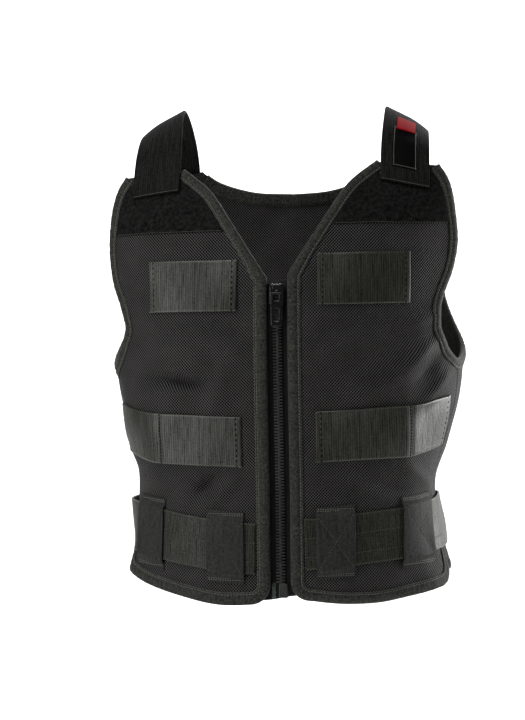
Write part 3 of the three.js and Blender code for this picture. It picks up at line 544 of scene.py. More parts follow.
def make_mottled(name, dark, light, grain, roughness, bump_depth, **sockets):
    """A plain finish with uneven colour, roughness and surface, from one noise of that grain in mm."""
    material, tree, shader = start_material(name, **sockets)
    place = add_node(tree, "ShaderNodeTexCoord")
    grains = {"Vector": place.outputs["Object"], "Scale": per_mm(grain), "Detail": 4.0}
    noise = add_node(tree, "ShaderNodeTexNoise", grains)
    spread = add_node(tree, "ShaderNodeMapRange", {0: noise, 1: NOISE_LOW, 2: NOISE_HIGH})
    dyed = {0: spread, 6: linear(dark), 7: linear(light)}
    colour = add_node(tree, "ShaderNodeMix", dyed, data_type="RGBA")
    roughs = {0: noise, 1: NOISE_LOW, 2: NOISE_HIGH, 3: roughness[0], 4: roughness[1]}
    rough = add_node(tree, "ShaderNodeMapRange", roughs)
    bump = add_node(tree, "ShaderNodeBump", {"Strength": 0.4, "Distance": bump_depth * MM, "Height": noise})
    connect(tree, shader, {"Base Color": colour.outputs[2], "Roughness": rough, "Normal": bump})
    return material


# A black felt that stays dark from every side
LOOP_PILE = make_mottled(
    "nylon_loop_pile", "#020202", "#242423", 3.4, (0.8, 1.0), 0.6, Specular_IOR_Level=0.08
)
# Grey thread with a small highlight on each stitch, which draws the seams as dotted light lines
THREAD = make_mottled("polyester_thread", "#46463f", "#6e6e66", 1.5, (0.45, 0.6), 0.05)
# A duller grey, for rows that only just show
EDGE_THREAD = make_mottled("worn_edge_yarn", "#2b2b28", "#4a4a45", 1.5, (0.45, 0.6), 0.05)
# Black and matt, seen as a row of dark dots on the webbing
DARK_THREAD = make_mottled(
    "black_thread", "#020202", "#070707", 1.5, (0.8, 0.95), 0.05, Specular_IOR_Level=0.05
)
# Dark grey plastic, satin as it leaves the mould
ACETAL = make_mottled("moulded_acetal", "#1a1a1a", "#2d2d2c", 3.0, (0.35, 0.48), 0.03)
# Smooth black with sharp highlights on its bevels
LACQUER = make_mottled(
    "black_lacquered_zinc", "#060606", "#0d0d0d", 4.0, (0.16, 0.28), 0.02, Coat_Weight=0.4
)
# A glossy grey-green skin over the tape
FILM = make_mottled("clear_tape_film", "#2b312e", "#49524d", 3.0, (0.18, 0.3), 0.05, Coat_Weight=0.5)
mottled = (LOOP_PILE, THREAD, EDGE_THREAD, DARK_THREAD, ACETAL, LACQUER, FILM)
print("plain materials", [material.name for material in mottled])

# %% [markdown]
# ## Building a piece of cloth
# A sheet of cloth is a closed shell: an outer and an inner grid that share their rim, with the rim rolled
# off in a small radius as a cut or folded edge is. The flat place of every point is kept as its UV map in
# metres, so a weave keeps its true size and follows the cloth over the body.

# %% Mesh helpers
made = {}


def make_piece(name, points, faces, material, cloth=None):
    """An object from points in millimetres, with the flat places of its points as a UV map."""
    mesh = bpy.data.meshes.new(name)
    mesh.from_pydata(np.asarray(points) * MM, [], faces)
    mesh.shade_smooth()
    if cloth is not None:
        corner = np.empty(len(mesh.loops), np.int32)
        mesh.loops.foreach_get("vertex_index", corner)
        layer = mesh.uv_layers.new(name=CLOTH_MAP)
        layer.uv.foreach_set("vector", (np.asarray(cloth)[corner] * MM).astype(np.float32).ravel())
    mesh.materials.append(material)
    return add_object(name, mesh)


def flat_grid(s, t):
    """Flat points with s along every row and t up every column."""
    return np.stack(np.broadcast_arrays(s[None], t[:, None]), axis=-1)


def grid_quads(index, flip=False):
    a, b, c, d = index[:-1, :-1], index[:-1, 1:], index[1:, 1:], index[1:, :-1]
    quads = np.stack([a, b, c, d], axis=-1).reshape(-1, 4)
    return quads[:, ::-1] if flip else quads


def rim_distance(grid):
    """Distance of each point of a flat grid from the grid's rim, in millimetres."""
    nearest = np.full(grid.shape[:2], np.inf)
    for axis in (0, 1):
        steps = np.linalg.norm(np.diff(grid, axis=axis), axis=-1)
        start = np.zeros_like(np.take(steps, [0], axis=axis))
        run = np.concatenate([start, np.cumsum(steps, axis=axis)], axis=axis)
        total = np.take(run, [-1], axis=axis)
        nearest = np.minimum(nearest, np.minimum(run, total - run))
    return nearest


def shell(name, grid, lay, low, thickness, rim, material, extra=0.0, cloth=None):
    """Makes a piece that is a closed sheet over flat points; lay puts them on the body or a strap."""
    rows, columns = grid.shape[:2]
    share = np.clip(rim_distance(grid) / rim, 0, 1)
    swell = np.sqrt(1 - (1 - share) ** 2)
    outer = lay.place(grid, low + thickness * (0.5 + 0.5 * swell) + extra)
    inner = lay.place(grid, low + thickness * (0.5 - 0.5 * swell) + extra)
    outer_index = np.arange(rows * columns).reshape(rows, columns)
    inner_index = outer_index.copy()
    inside = (slice(1, -1), slice(1, -1))
    count = (rows - 2) * (columns - 2)
    inner_index[inside] = rows * columns + np.arange(count).reshape(rows - 2, columns - 2)
    points = np.concatenate([outer.reshape(-1, 3), inner[inside].reshape(-1, 3)])
    flat = grid if cloth is None else cloth
    places = np.concatenate([flat.reshape(-1, 2), flat[inside].reshape(-1, 2)])
    flip = lay.sign < 0
    faces = np.concatenate([grid_quads(outer_index, flip), grid_quads(inner_index, not flip)])
    made[name] = make_piece(name, points, faces.tolist(), material, places)


RIM_SHARES = np.array([0, 0.06, 0.22, 0.5, 1.0])


def spaced(start, end, step, rim):
    """Places about a step apart from start to end, close together at both ends for the rolled rim."""
    count = max(2, round((end - start - 2 * rim) / step))
    middle = np.linspace(start + rim, end - rim, count + 1)[1:-1]
    return np.concatenate([start + rim * RIM_SHARES, middle, end - rim * RIM_SHARES[::-1]])


print("cloth helpers ready")

# %% [markdown]
# ## Flat outlines
# The outlines are those of the solids, drawn with smooth curves through a few measured places. Between
# four boundary curves a blended (Coons) patch fills the panel with rows and columns, so the grid follows
# the neckline on one side and the armhole on the other.

# %% Curves and outlines
def hermite(start, end, slope, end_slope, t):
    """Cubic from one point to the next with these slopes at its ends."""
    cubic = 2 * start - 2 * end + slope + end_slope
    square = 3 * end - 3 * start - 2 * slope - end_slope
    return cubic * t**3 + square * t**2 + slope * t + start


def spline(points, share):
    """Curve through points at shares of its run, each point with the slope of its neighbours."""
    points = np.asarray(points, float)
    place = np.clip(share, 0, 1) * (len(points) - 1)
    i = np.minimum(place.astype(int), len(points) - 2)
    t = (place - i)[:, None]
    p0, p1, p2 = points[np.maximum(i - 1, 0)], points[i], points[i + 1]
    p3 = points[np.minimum(i + 2, len(points) - 1)]
    return hermite(p1, p2, (p2 - p0) / 2, (p3 - p1) / 2, t)


def stretch_of(points, cells, start=0.0, end=1.0):
    return spline(points, np.linspace(start, end, cells + 1))


def arc_of(centre, radius, start, end, cells):
    turn = np.radians(np.linspace(start, end, cells + 1))
    return np.stack([centre[0] + radius * np.cos(turn), centre[1] + radius * np.sin(turn)], axis=-1)


def joined(*stretches):
    return np.concatenate([stretches[0]] + [s[1:] for s in stretches[1:]])


def from_back(rows):
    return [(float(half_girth(z)) - distance, z) for distance, z in rows]


def run_length(points):
    return np.concatenate([[0], np.cumsum(np.linalg.norm(np.diff(points, axis=0), axis=1))])


def at_run(points, places):
    """Points at these runs along a line of points."""
    run = run_length(points)
    return np.stack([np.interp(places, run, column) for column in points.T], axis=-1)


def resampled(points, step):
    """Points about a step apart along a line of points."""
    length = run_length(points)[-1]
    return at_run(points, np.linspace(0, length, max(2, round(length / step)) + 1))


FRONT_EDGE_U, V_BOTTOM_Z = 11.5, -166
HEM_RADIUS, VENT_RADIUS, VENT_EDGE_U = 19, 22, 193
NECK = [(FRONT_EDGE_U, V_BOTTOM_Z), (25.5, -144.5), (48, -109.5), (71, -76.5), (99, -53.5)]
FRONT_HEM = {
    "right": [(30.5, -491), (62, -491.5), (100, -486), (135, -479), (171, -471)],
    "left": [(30.5, -493), (62, -497), (100, -497), (135, -492), (171, -487)],
}
BACK_VENT_Z = -453
SIDE_SEAM = [(195, -447), (197, -345), (213, -257)]
ARMHOLE_FRONT = [
    (162.5, -58), (174, -75), (183.5, -102), (189.5, -134), (185, -165), (174.5, -190), (169.5, -212),
    (177, -233), (192, -249),
]
ARMHOLE_BACK = [(238, -250), (203, -226), (179, -192), (167, -150), (160.5, -104), (156, -56)]
BACK_NECK = [(100, -46), (78, -61), (42, -71), (0, -74)]
BACK_HEM_Z = -477
SEAM_LAP = 0.4
ARMHOLE = ARMHOLE_FRONT + [SIDE_SEAM[-1]] + from_back(ARMHOLE_BACK)
ARMPIT = len(ARMHOLE_FRONT) / (len(ARMHOLE) - 1)
FRONT_FINE, BACK_FINE = 10, 6


def front_outline(hem, fine=FRONT_FINE):
    edge_arc = arc_of((hem[0][0], hem[0][1] + HEM_RADIUS), HEM_RADIUS, 180, 270, 2 * fine)
    vent_arc = arc_of((hem[-1][0], hem[-1][1] + VENT_RADIUS), VENT_RADIUS, 270, 360, 2 * fine)
    edge = stretch_of([edge_arc[0], NECK[0]], 12 * fine)
    seam = stretch_of(SIDE_SEAM, 7 * fine) + (SEAM_LAP / 2, 0)
    vent = stretch_of([vent_arc[-1], seam[0]], fine)
    armhole = stretch_of(ARMHOLE, 11 * fine, ARMPIT, 0)
    armhole[0] = seam[-1]
    start = joined(edge_arc[: fine + 1][::-1], edge, stretch_of(NECK, 7 * fine))
    bottom = joined(edge_arc[fine:], stretch_of(hem, 8 * fine), vent_arc[: fine + 1])
    end = joined(vent_arc[fine:], vent, seam, armhole)
    top = stretch_of([start[-1], end[-1]], len(bottom) - 1)
    return start, bottom, end, top


def back_outline(fine=BACK_FINE):
    corner_u = 2 * SIDE_SEAM[0][0] - VENT_EDGE_U
    vent_arc = arc_of((corner_u + VENT_RADIUS, BACK_VENT_Z), VENT_RADIUS, 180, 270, 4 * fine)
    seam = stretch_of(SIDE_SEAM, 7 * fine) - (SEAM_LAP / 2, 0)
    vent = stretch_of([vent_arc[0], seam[0]], fine)
    armhole = stretch_of(ARMHOLE, 11 * fine, ARMPIT, 1)
    armhole[0] = seam[-1]

    def centred(points):
        return points - np.stack([half_girth(points[:, 1]), np.zeros(len(points))], axis=-1)

    start = centred(joined(vent_arc[: 2 * fine + 1][::-1], vent, seam, armhole))
    neck = centred(stretch_of(from_back(BACK_NECK), 8 * fine))
    neck = joined(neck, (neck * (-1, 1))[::-1])
    shoulder = stretch_of([start[-1], neck[0]], 5 * fine)
    corner = centred(vent_arc[2 * fine :])
    hem = stretch_of([corner[-1], (0, BACK_HEM_Z), corner[-1] * (-1, 1)], 22 * fine)
    bottom = joined(corner, hem, (corner * (-1, 1))[::-1])
    top = joined(shoulder, neck, (shoulder * (-1, 1))[::-1])
    return start, bottom, start * (-1, 1), top, neck


def filled(start, bottom, end, top):
    v = np.linspace(0, 1, len(start))[:, None, None]
    s = np.linspace(0, 1, len(bottom))[None, :, None]
    grid = (1 - v) * bottom[None] + v * top[None] + (1 - s) * start[:, None] + s * end[:, None]
    grid -= (1 - v) * ((1 - s) * start[0] + s * end[0]) + v * ((1 - s) * start[-1] + s * end[-1])
    return grid


FRONT_OUTLINE = {side: front_outline(hem) for side, hem in FRONT_HEM.items()}
back_start, back_bottom, back_end, back_top, back_neck = back_outline()
FRONT_GRID = {side: filled(*outline) for side, outline in FRONT_OUTLINE.items()}
BACK_GRID = filled(back_start, back_bottom, back_end, back_top)
print("front grid", FRONT_GRID["left"].shape, "back grid", BACK_GRID.shape)

# %% [markdown]
# ## The padded panels
# Each panel is about three millimetres thick. The rims are hidden in the bindings, so a plain rolled rim
# is enough; the inside shows at the neck and the armholes and is the same mesh.

# %% Panels
PANEL, PANEL_RIM = 3.0, 2.0
for lay in SIDES:
    shell(f"mesh_front_{lay.name}", FRONT_GRID[lay.name], lay, 0, PANEL, PANEL_RIM, AIR_MESH)
shell("mesh_back", BACK_GRID, BACK, 0, PANEL, PANEL_RIM, AIR_MESH)
print("panel faces", {n: len(o.data.polygons) for n, o in made.items()})

# %% [markdown]
# ## The taped edges
# Every cut edge is bound with a tape folded over it and sewn through. Its section is a soft U: a crowned
# front leg with a dent where the needle pulls it down, a round fold outside the edge and a flat back leg.
# Carrying that section along the edge keeps the tape's width true round every corner.

# %% Bindings
TAPE_WIDTH, TAPE, TAPE_GAP, TAPE_STEP = 12.0, 1.1, 0.3, 2.4
STITCH_INSET, SLANT_SHARE, SLANT_FADE = TAPE_WIDTH - 2.6, 0.8, 30
PUCKERS = [(0.16, 7.3, 0), (0.12, 11.9, 1)]


def binding_section():
    """Closed section as (inset, lift) from the inner front corner round the fold and back inside."""
    top = PANEL + TAPE_GAP
    front = [
        (TAPE_WIDTH, top + 0.35 * TAPE), (TAPE_WIDTH - 0.25, top + 0.8 * TAPE),
        (TAPE_WIDTH - 0.8, top + TAPE), (TAPE_WIDTH - 1.7, top + TAPE),
        (STITCH_INSET, top + 0.6 * TAPE), (STITCH_INSET - 1.2, top + 1.2 * TAPE),
        (6.2, top + 1.9 * TAPE), (3.8, top + 2.0 * TAPE), (1.6, top + 1.6 * TAPE),
    ]
    fold = TAPE_GAP + TAPE
    turn = np.radians(np.linspace(8, 172, 8))
    round_edge = [(-fold * math.sin(a), PANEL / 2 + (PANEL / 2 + fold) * math.cos(a)) for a in turn]
    back = [(1.0, -fold), (6.0, -fold), (TAPE_WIDTH - 0.4, -fold), (TAPE_WIDTH, -TAPE_GAP - 0.5 * TAPE)]
    inside = [(TAPE_WIDTH - 0.3, -TAPE_GAP), (0.0, -TAPE_GAP), (-TAPE_GAP, PANEL / 2), (0.0, top)]
    return np.array(front + round_edge + back + inside + [(TAPE_WIDTH - 0.3, top)])


def inward(path):
    """Direction into the panel along an edge that has the panel on its right."""
    along = np.gradient(path, axis=0)
    for _ in range(3):
        along[1:-1] = (along[:-2] + 2 * along[1:-1] + along[2:]) / 4
    along /= np.linalg.norm(along, axis=1, keepdims=True)
    return np.stack([along[:, 1], -along[:, 0]], axis=-1)


def waves(run, table):
    """Sine waves along a run, from rows of height, wave length and start."""
    return sum(height * np.sin(run * TURN / length + start) for height, length, start in table)


def make_binding(name, path, lay, slant_z):
    """Above slant_z the tape rolls in with the edge, so less of its width shows."""
    path = resampled(path, TAPE_STEP)
    share = 1 - (1 - SLANT_SHARE) * smoothstep(path[:, 1], slant_z, slant_z + SLANT_FADE)
    section = binding_section()
    rings, count = len(path), len(section)
    inset = np.where(section[:, 0] > 0, section[:, 0] * share[:, None], section[:, 0])
    flat = path[:, None] + inward(path)[:, None] * inset[..., None]
    run = run_length(path)
    lift = section[None, :, 1] + waves(run, PUCKERS)[:, None] * (section[None, :, 1] > PANEL)
    points = lay.place(flat, lift).reshape(-1, 3)
    index = np.arange(rings * count).reshape(rings, count)
    index = np.concatenate([index, index[:, :1]], axis=1)
    faces = grid_quads(index, flip=lay.sign < 0).tolist()
    caps = [index[0, :-1].tolist()[::-1], index[-1, :-1].tolist()]
    faces += [c[::-1] for c in caps] if lay.sign < 0 else caps
    cloth = np.stack(np.broadcast_arrays(run[:, None], run_length(section)[None]), axis=-1)
    made[name] = make_piece(name, points, faces, BINDING, cloth.reshape(-1, 2))
    bound.append((path, share, lay))


FRONT_PATH = {
    side: joined(end[: 2 * FRONT_FINE][::-1], bottom[::-1], start)
    for side, (start, bottom, end, _) in FRONT_OUTLINE.items()
}
ARM_PATH = stretch_of(ARMHOLE, 220)
HEM_PATH = joined(back_end[: 3 * BACK_FINE][::-1], back_bottom[::-1], back_start[: 3 * BACK_FINE])
NECK_PATH = back_neck[BACK_FINE:-BACK_FINE]
bound = []
for lay in SIDES:
    make_binding(f"bound_edge_{lay.name}", FRONT_PATH[lay.name], lay, V_BOTTOM_Z)
    make_binding(f"bound_armhole_{lay.name}", ARM_PATH, lay, ARMHOLE_BACK[0][1] - 60)
make_binding("bound_hem_back", HEM_PATH, BACK, 0)
make_binding("bound_neck_back", NECK_PATH, BACK, 0)
print("binding, total length", round(sum(run_length(path)[-1] for path, _, _ in bound)), "mm")

# %% [markdown]
# ## Webbing
# Lengths of two inch webbing are sewn across the chest and the waist, with both ends turned under. The
# turned ends make the webbing a little thicker there, and its selvedges are rolled. The lengths at the
# waist are sewn down once more before the side: up to that seam they stand a little off the panel, and
# past it they are drawn tight, so they face the light from the side.

# %% Chest and waist webbing
WEB, WEB_RIM, WEB_STEP = 2.0, 1.0, 2.2
WEB_LOW = PANEL + 0.2
CHEST_LINE = [(40, -172), (133, -172)]
WAIST_LINE = [(37, -328), (130, -323.5), (188.5, -316.5)]
TURNED_END, END_FADE, END_SWELL = 8.0, 1.5, 0.072
WAIST_SEAMS = {"right": 122, "left": 131}
STAND_START_U, WAIST_STAND, WAIST_HOLLOW = 45, 1.8, 0.6
# place, width and height of a bell
SELVEDGE, END_DENT, SEAM_DENT = (1.6, 1.2, 0.25), (3.0, 1.0, -0.15), (0.4, 2.0, -0.9)


def band_grid(line):
    """Flat grid of webbing along a line, with the run along it and across it."""
    dense = stretch_of(line, 200)
    s, t = (spaced(0, size, WEB_STEP, WEB_RIM) for size in (run_length(dense)[-1], WEB_WIDTH))
    grid = np.repeat(at_run(dense, s)[None], len(t), axis=0)
    grid[..., 1] += (t - WEB_WIDTH / 2)[:, None]
    return grid, s, t


def rolled(t):
    """Lift of the thick yarns along both selvedges."""
    return ridge(np.minimum(t, WEB_WIDTH - t), *SELVEDGE)[:, None]


def make_webbing(name, line, lay):
    grid, s, t = band_grid(line)
    from_end = np.minimum(s, s[-1] - s)
    swell = END_SWELL * (1 - smoothstep(from_end, TURNED_END - END_FADE, TURNED_END + END_FADE))
    extra = (swell + ridge(from_end, *END_DENT))[None] + rolled(t)
    if line is WAIST_LINE:
        u, seam = grid[..., 0], WAIST_SEAMS[lay.name]
        past = np.clip((u - seam) / (u[0, -1] - seam), 0, 1)
        stand = WAIST_STAND * np.minimum(smoothstep(u, STAND_START_U, seam), 1 - past)
        extra = extra + stand - WAIST_HOLLOW * np.sin(np.pi * past) + ridge(u - seam, *SEAM_DENT)
    shell(name, grid, lay, WEB_LOW, WEB, WEB_RIM, WEBBING, extra, flat_grid(s, t))


for lay in SIDES:
    make_webbing(f"webbing_chest_{lay.name}", CHEST_LINE, lay)
    make_webbing(f"webbing_waist_{lay.name}", WAIST_LINE, lay)
lengths = [round(run_length(stretch_of(line, 50))[-1]) for line in (CHEST_LINE, WAIST_LINE)]
print("webbing lengths", lengths, "mm")

# %% [markdown]
# ## Belt and belt loops
# The belt is webbing of the same width but more worn, running from one front edge round the back to the
# other. Each crosswise line keeps its share of the girth, so the belt's ends are cut straight although
# the body tapers. It bows out at the wearer's right side. Four canvas loops hold it: sewn down at both
# ends, lifted over the belt and quilted with a cross.

# %% Belt and loops
BELT_FRONT = [(24.5, -436), (50, -435), (90, -431), (150, -427), (205, -424)]
BELT_BACK_Z = -422
RIGHT_RISE = (-150, 55, 3.5)
# place round the body, length, and the bow at the lower and the upper edge
BELT_BOW = [(-222, 42, 0.5, 7.0), (222, 42, 0.5, 1.5)]
BELT_LIFT, BELT_ROOM, BELT_SLACK = 0.4, 0.9, [(0.2, 83, 0), (0.14, 37, 2)]
# place, middle and width of a loop
LOOPS = [("front", 55, 38), ("side", 145, 42)]
LOOP_HALF, LOOP_TAB, LOOP_RAMP = 36.0, 5.0, 4.5
LOOP_THICK, LOOP_CLEAR, LOOP_RIM, LOOP_STEP = 1.6, 0.3, 0.8, 1.8
QUILT_END, QUILT_SIDE, LOOP_SAG = 11.0, 2.5, 0.35
QUILT_DENT, TACK_DENT = (0, 1.3, -0.35), (3.0, 1.2, -0.25)
BELT_LINE = BELT_FRONT + [(float(half_girth(BELT_BACK_Z)), BELT_BACK_Z)]


def belt_rise(place):
    return ridge(place, *RIGHT_RISE)


def belt_bow(u, z):
    place = wrapped(u, z)
    up = np.clip((z - BELT_BACK_Z) / WEB_WIDTH + 0.5, 0, 1)
    return sum(ridge(place, at, length, low + (high - low) * up) for at, length, low, high in BELT_BOW)


def make_belt():
    half = resampled(stretch_of(BELT_LINE, 300), WEB_STEP)
    share = half[:, 0] / half_girth(half[:, 1])
    share = np.concatenate([share, 2 - share[-2::-1]])
    level = np.concatenate([half[:, 1], half[-2::-1, 1]])
    run = WEB_STEP * np.arange(len(share))
    s, t = (spaced(0, size, WEB_STEP, WEB_RIM) for size in (run[-1], WEB_WIDTH))
    z = np.interp(s, run, level)[None] + (t - WEB_WIDTH / 2)[:, None]
    u = np.interp(s, run, share)[None] * half_girth(z)
    z = z + belt_rise(wrapped(u, z))
    grid = np.stack([u, z], axis=-1)
    extra = belt_bow(u, z) + rolled(t) + waves(s, BELT_SLACK)[None] + BELT_LIFT
    shell("belt", grid, SIDES[1], WEB_LOW, WEB, WEB_RIM, BELT, extra, flat_grid(s, t))
    return run[-1]


def belt_z(u, lay):
    dense = stretch_of(BELT_LINE, 400)
    return np.interp(u, dense[:, 0], dense[:, 1]) + belt_rise(lay.sign * u)


def make_loop(name, u, width, lay):
    s, t = spaced(0, width, WEB_STEP, LOOP_RIM), spaced(0, 2 * LOOP_HALF, LOOP_STEP, LOOP_RIM)
    place = u + s - width / 2
    level = belt_z(place, lay)[None] + (t - LOOP_HALF)[:, None]
    grid = np.stack(np.broadcast_arrays(place[None], level), axis=-1)
    from_end = np.minimum(t, 2 * LOOP_HALF - t)[:, None]
    raised = smoothstep(from_end, LOOP_TAB, LOOP_TAB + LOOP_RAMP)
    over = WEB + BELT_ROOM + LOOP_CLEAR + belt_bow(lay.sign * grid[..., 0], grid[..., 1])
    sag = LOOP_SAG * np.sin(np.pi * s / width)[None]
    slope = (2 * LOOP_HALF - 2 * QUILT_END) / (width - 2 * QUILT_SIDE)
    rise = np.abs(s - width / 2)[None] * slope - np.abs(t - LOOP_HALF)[:, None]
    quilted = ridge(rise / math.hypot(1, slope), *QUILT_DENT)
    extra = raised * (over - sag + quilted) + ridge(from_end, *TACK_DENT)
    shell(name, grid, lay, WEB_LOW, LOOP_THICK, LOOP_RIM, CANVAS, extra, flat_grid(s, t))


belt_length = make_belt()
for lay in SIDES:
    for place, u, width in LOOPS:
        make_loop(f"loop_{place}_{lay.name}", u, width, lay)
print("belt length", round(belt_length), "mm")

# %% [markdown]
# ## Loop-pile yokes
# The upper chest carries a wide piece of loop pile, where the straps stick. Its outline follows the inner
# edges of the two bindings. The pile itself is a felt of small thread loops: a Geometry Nodes tree
# scatters them on the outer face, because one loop repeated a few thousand times is what the real
# surface is.

# %% Yokes
YOKE_BOTTOM_Z, YOKE_TOP_Z = -118, -67
YOKE, YOKE_LOW, YOKE_RIM, YOKE_STEP = 1.3, PANEL + 0.2, 0.8, 2.0
YOKE_INSET = TAPE_WIDTH * SLANT_SHARE + 0.5


def inset_side(line, start, end, cells):
    """Places on the inner edge of a binding at even heights."""
    dense = resampled(line, 0.8)
    edge = dense + inward(dense) * YOKE_INSET
    z = np.linspace(start, end, cells + 1)
    upper = edge[: np.argmin(edge[:, 1]) + 1] if edge[0, 1] > edge[-1, 1] else edge
    order = np.argsort(upper[:, 1])
    return np.stack([np.interp(z, upper[order, 1], upper[order, 0]), z], axis=-1)


def yoke_grid():
    rows = spaced(YOKE_BOTTOM_Z, YOKE_TOP_Z, YOKE_STEP, YOKE_RIM)
    lines = [stretch_of(line, 300) for line in (NECK, ARMHOLE_FRONT[:6])]
    sides = [inset_side(line, YOKE_BOTTOM_Z, YOKE_TOP_Z, 60) for line in lines]
    start, end = (np.interp(rows, side[:, 1], side[:, 0]) for side in sides)
    width = float(np.mean(end - start))
    across = spaced(0, width, YOKE_STEP, YOKE_RIM) / width
    u = start[:, None] + (end - start)[:, None] * across[None]
    return np.stack([u, np.broadcast_to(rows[:, None], u.shape)], axis=-1)


YOKE_GRID = yoke_grid()
for lay in SIDES:
    shell(f"yoke_{lay.name}", YOKE_GRID, lay, YOKE_LOW, YOKE, YOKE_RIM, LOOP_PILE)
print("yoke grid", YOKE_GRID.shape)

# %% [markdown]
# ## Shoulder straps
# A strap starts on the yoke, rises clear of the chest, goes over the shoulder and comes down on the back.
# Lines through a few measured places carry it, one for each place across its width, so that it twists
# with the slope of the shoulder. The patch and the folded tab are laid on the left strap the same way.

# %% Straps
STRAP_WIDTH, STRAP_THICK, STRAP_RIM = 50.0, 3.0, 1.4
STRAP_SEAMS = [(9, 1.2, -0.3), (4, 1.0, -0.3)]
STRAP_ROWS, STRAP_COLUMNS = 161, 27
STRAP_U, STRAP_LIFT = 127, 5.3
STRAP_END_Z, STRAP_SLANT = -79.5, {-1: 0.12, 1: 0.19}
STRAP_FRONT_Z, STRAP_BACK_Z = (-64, -52), (-44, -60, -80, -100)
CREST_X, CREST_Y, SHOULDER_SLOPE, CREST_CURL = 128, 9, math.radians(27), 20


def chord_curve(points, samples):
    """Smooth curve through points in space, with slopes weighted by the chords, at even steps."""
    points = np.asarray(points, float)
    ends = [2 * points[0] - points[1], *points, 2 * points[-1] - points[-2]]
    dense = []
    for p0, p1, p2, p3 in zip(ends, ends[1:], ends[2:], ends[3:]):
        d0, d1, d2 = (np.linalg.norm(b - a) for a, b in ((p0, p1), (p1, p2), (p2, p3)))
        m1 = ((p1 - p0) / d0 - (p2 - p0) / (d0 + d1) + (p2 - p1) / d1) * d1
        m2 = ((p2 - p1) / d1 - (p3 - p1) / (d1 + d2) + (p3 - p2) / d2) * d1
        t = np.linspace(0, 1, 40, endpoint=False)[:, None]
        dense.append(hermite(p1, p2, m1, m2, t))
    dense = np.concatenate([*dense, points[-1:]])
    length = run_length(dense)[-1]
    return at_run(dense, samples * length), length


def strap_line(sign, offset, samples):
    front_z = np.array([STRAP_END_Z - STRAP_SLANT[sign] * offset, *STRAP_FRONT_Z])
    back_z = np.array(STRAP_BACK_Z, float)
    front = wrap(sign * (STRAP_U + offset), front_z, STRAP_LIFT)
    curl = CREST_CURL * max(0, offset / STRAP_WIDTH) ** 2
    reach, drop = offset * math.cos(SHOULDER_SLOPE), offset * math.sin(SHOULDER_SLOPE)
    crest = [sign * (CREST_X + reach), CREST_Y, -drop - curl]
    back = wrap(sign * (half_girth(back_z) - STRAP_U - offset), back_z, STRAP_LIFT)
    return chord_curve([*front, crest, *back], samples)


class Strap:
    """Underside of a strap as a fine table of points and outward directions."""

    def __init__(self, sign):
        self.sign = sign
        self.shares = np.linspace(0, 1, STRAP_ROWS)
        self.offsets = np.linspace(-STRAP_WIDTH / 2, STRAP_WIDTH / 2, STRAP_COLUMNS)
        lines = [strap_line(sign, offset, self.shares) for offset in self.offsets]
        self.points = np.stack([line for line, _ in lines], axis=1)
        self.length = float(np.mean([length for _, length in lines]))
        along, across = np.gradient(self.points, axis=0), np.gradient(self.points, axis=1)
        out = np.cross(across, along) * sign
        self.out = out / np.linalg.norm(out, axis=-1, keepdims=True)

    def place(self, flat, lift):
        """flat holds the offset across the strap and the run along it, in millimetres."""
        row = np.clip(flat[..., 1] / self.length, 0, 1) * (len(self.shares) - 1)
        column = np.clip(flat[..., 0] / STRAP_WIDTH + 0.5, 0, 1) * (len(self.offsets) - 1)
        points, out = (looked_up(table, row, column) for table in (self.points, self.out))
        return points + out * np.broadcast_to(lift, flat.shape[:2])[..., None]


def strap_grid(middle, width, start, end, rim):
    across = spaced(middle - width / 2, middle + width / 2, 1.8, rim)
    return flat_grid(across, spaced(start, end, 2.0, rim))


STRAPS = {lay.name: Strap(lay.sign) for lay in SIDES}
for lay in SIDES:
    strap = STRAPS[lay.name]
    grid = strap_grid(0, STRAP_WIDTH, 0, strap.length, STRAP_RIM)
    sewn = sum(ridge(grid[..., 1], *seam) for seam in STRAP_SEAMS)
    shell(f"strap_{lay.name}", grid, strap, 0, STRAP_THICK, STRAP_RIM, STRAP, sewn)
left_strap = STRAPS["left"]
# middle and width across the strap, start and end along it
PATCH_AREA = (-1, 25, 0.063 * left_strap.length, 0.263 * left_strap.length)
TAB_AREA = (-0.5, 19, 0.248 * left_strap.length, 0.331 * left_strap.length)
PATCH_LOW, PATCH_TOP = STRAP_THICK + 0.1, STRAP_THICK + 1.1
shell("patch", strap_grid(*PATCH_AREA, 0.5), left_strap, PATCH_LOW, 0.9, 0.5, PATCH)
shell("tab", strap_grid(*TAB_AREA, 0.6), left_strap, PATCH_TOP, 1.0, 0.5, TAB)
print("strap length", round(left_strap.length), "mm")

# %% [markdown]
# ## The zip
# A moulded zip: two tapes sewn behind the front edges, and a row of teeth moulded on each tape, which
# mesh in the middle. The tapes are plain sheets. The teeth repeat, so they come from Geometry Nodes.

# %% Zip tapes
ZIP_TOP_Z, ZIP_BOTTOM_Z = -170, -489
ZIP_INNER_U, ZIP_OUTER_U = 0.2, 20
ZIP_LIFT, ZIP_THICK, ZIP_RIM = -3.3, 0.9, 0.5
ZIP_GRID = flat_grid(
    spaced(ZIP_INNER_U, ZIP_OUTER_U, 2.0, ZIP_RIM), spaced(ZIP_BOTTOM_Z, ZIP_TOP_Z, 2.5, ZIP_RIM)
)
for lay in SIDES:
    shell(f"zip_tape_side_{lay.name}", ZIP_GRID, lay, ZIP_LIFT, ZIP_THICK, ZIP_RIM, ZIP_TAPE)
print("zip tape length", ZIP_TOP_Z - ZIP_BOTTOM_Z, "mm")

# %% [markdown]
# ## Rows of small parts
# Teeth and stitches are small parts set along a row, each turned with the cloth. One Geometry Nodes tree
# does both: it reads two directions from the points of a row, along it and out of the cloth, turns them
# into a rotation and puts the part on every point. The tree ends in real geometry, because a model that
# leaves Blender can't hold instances.

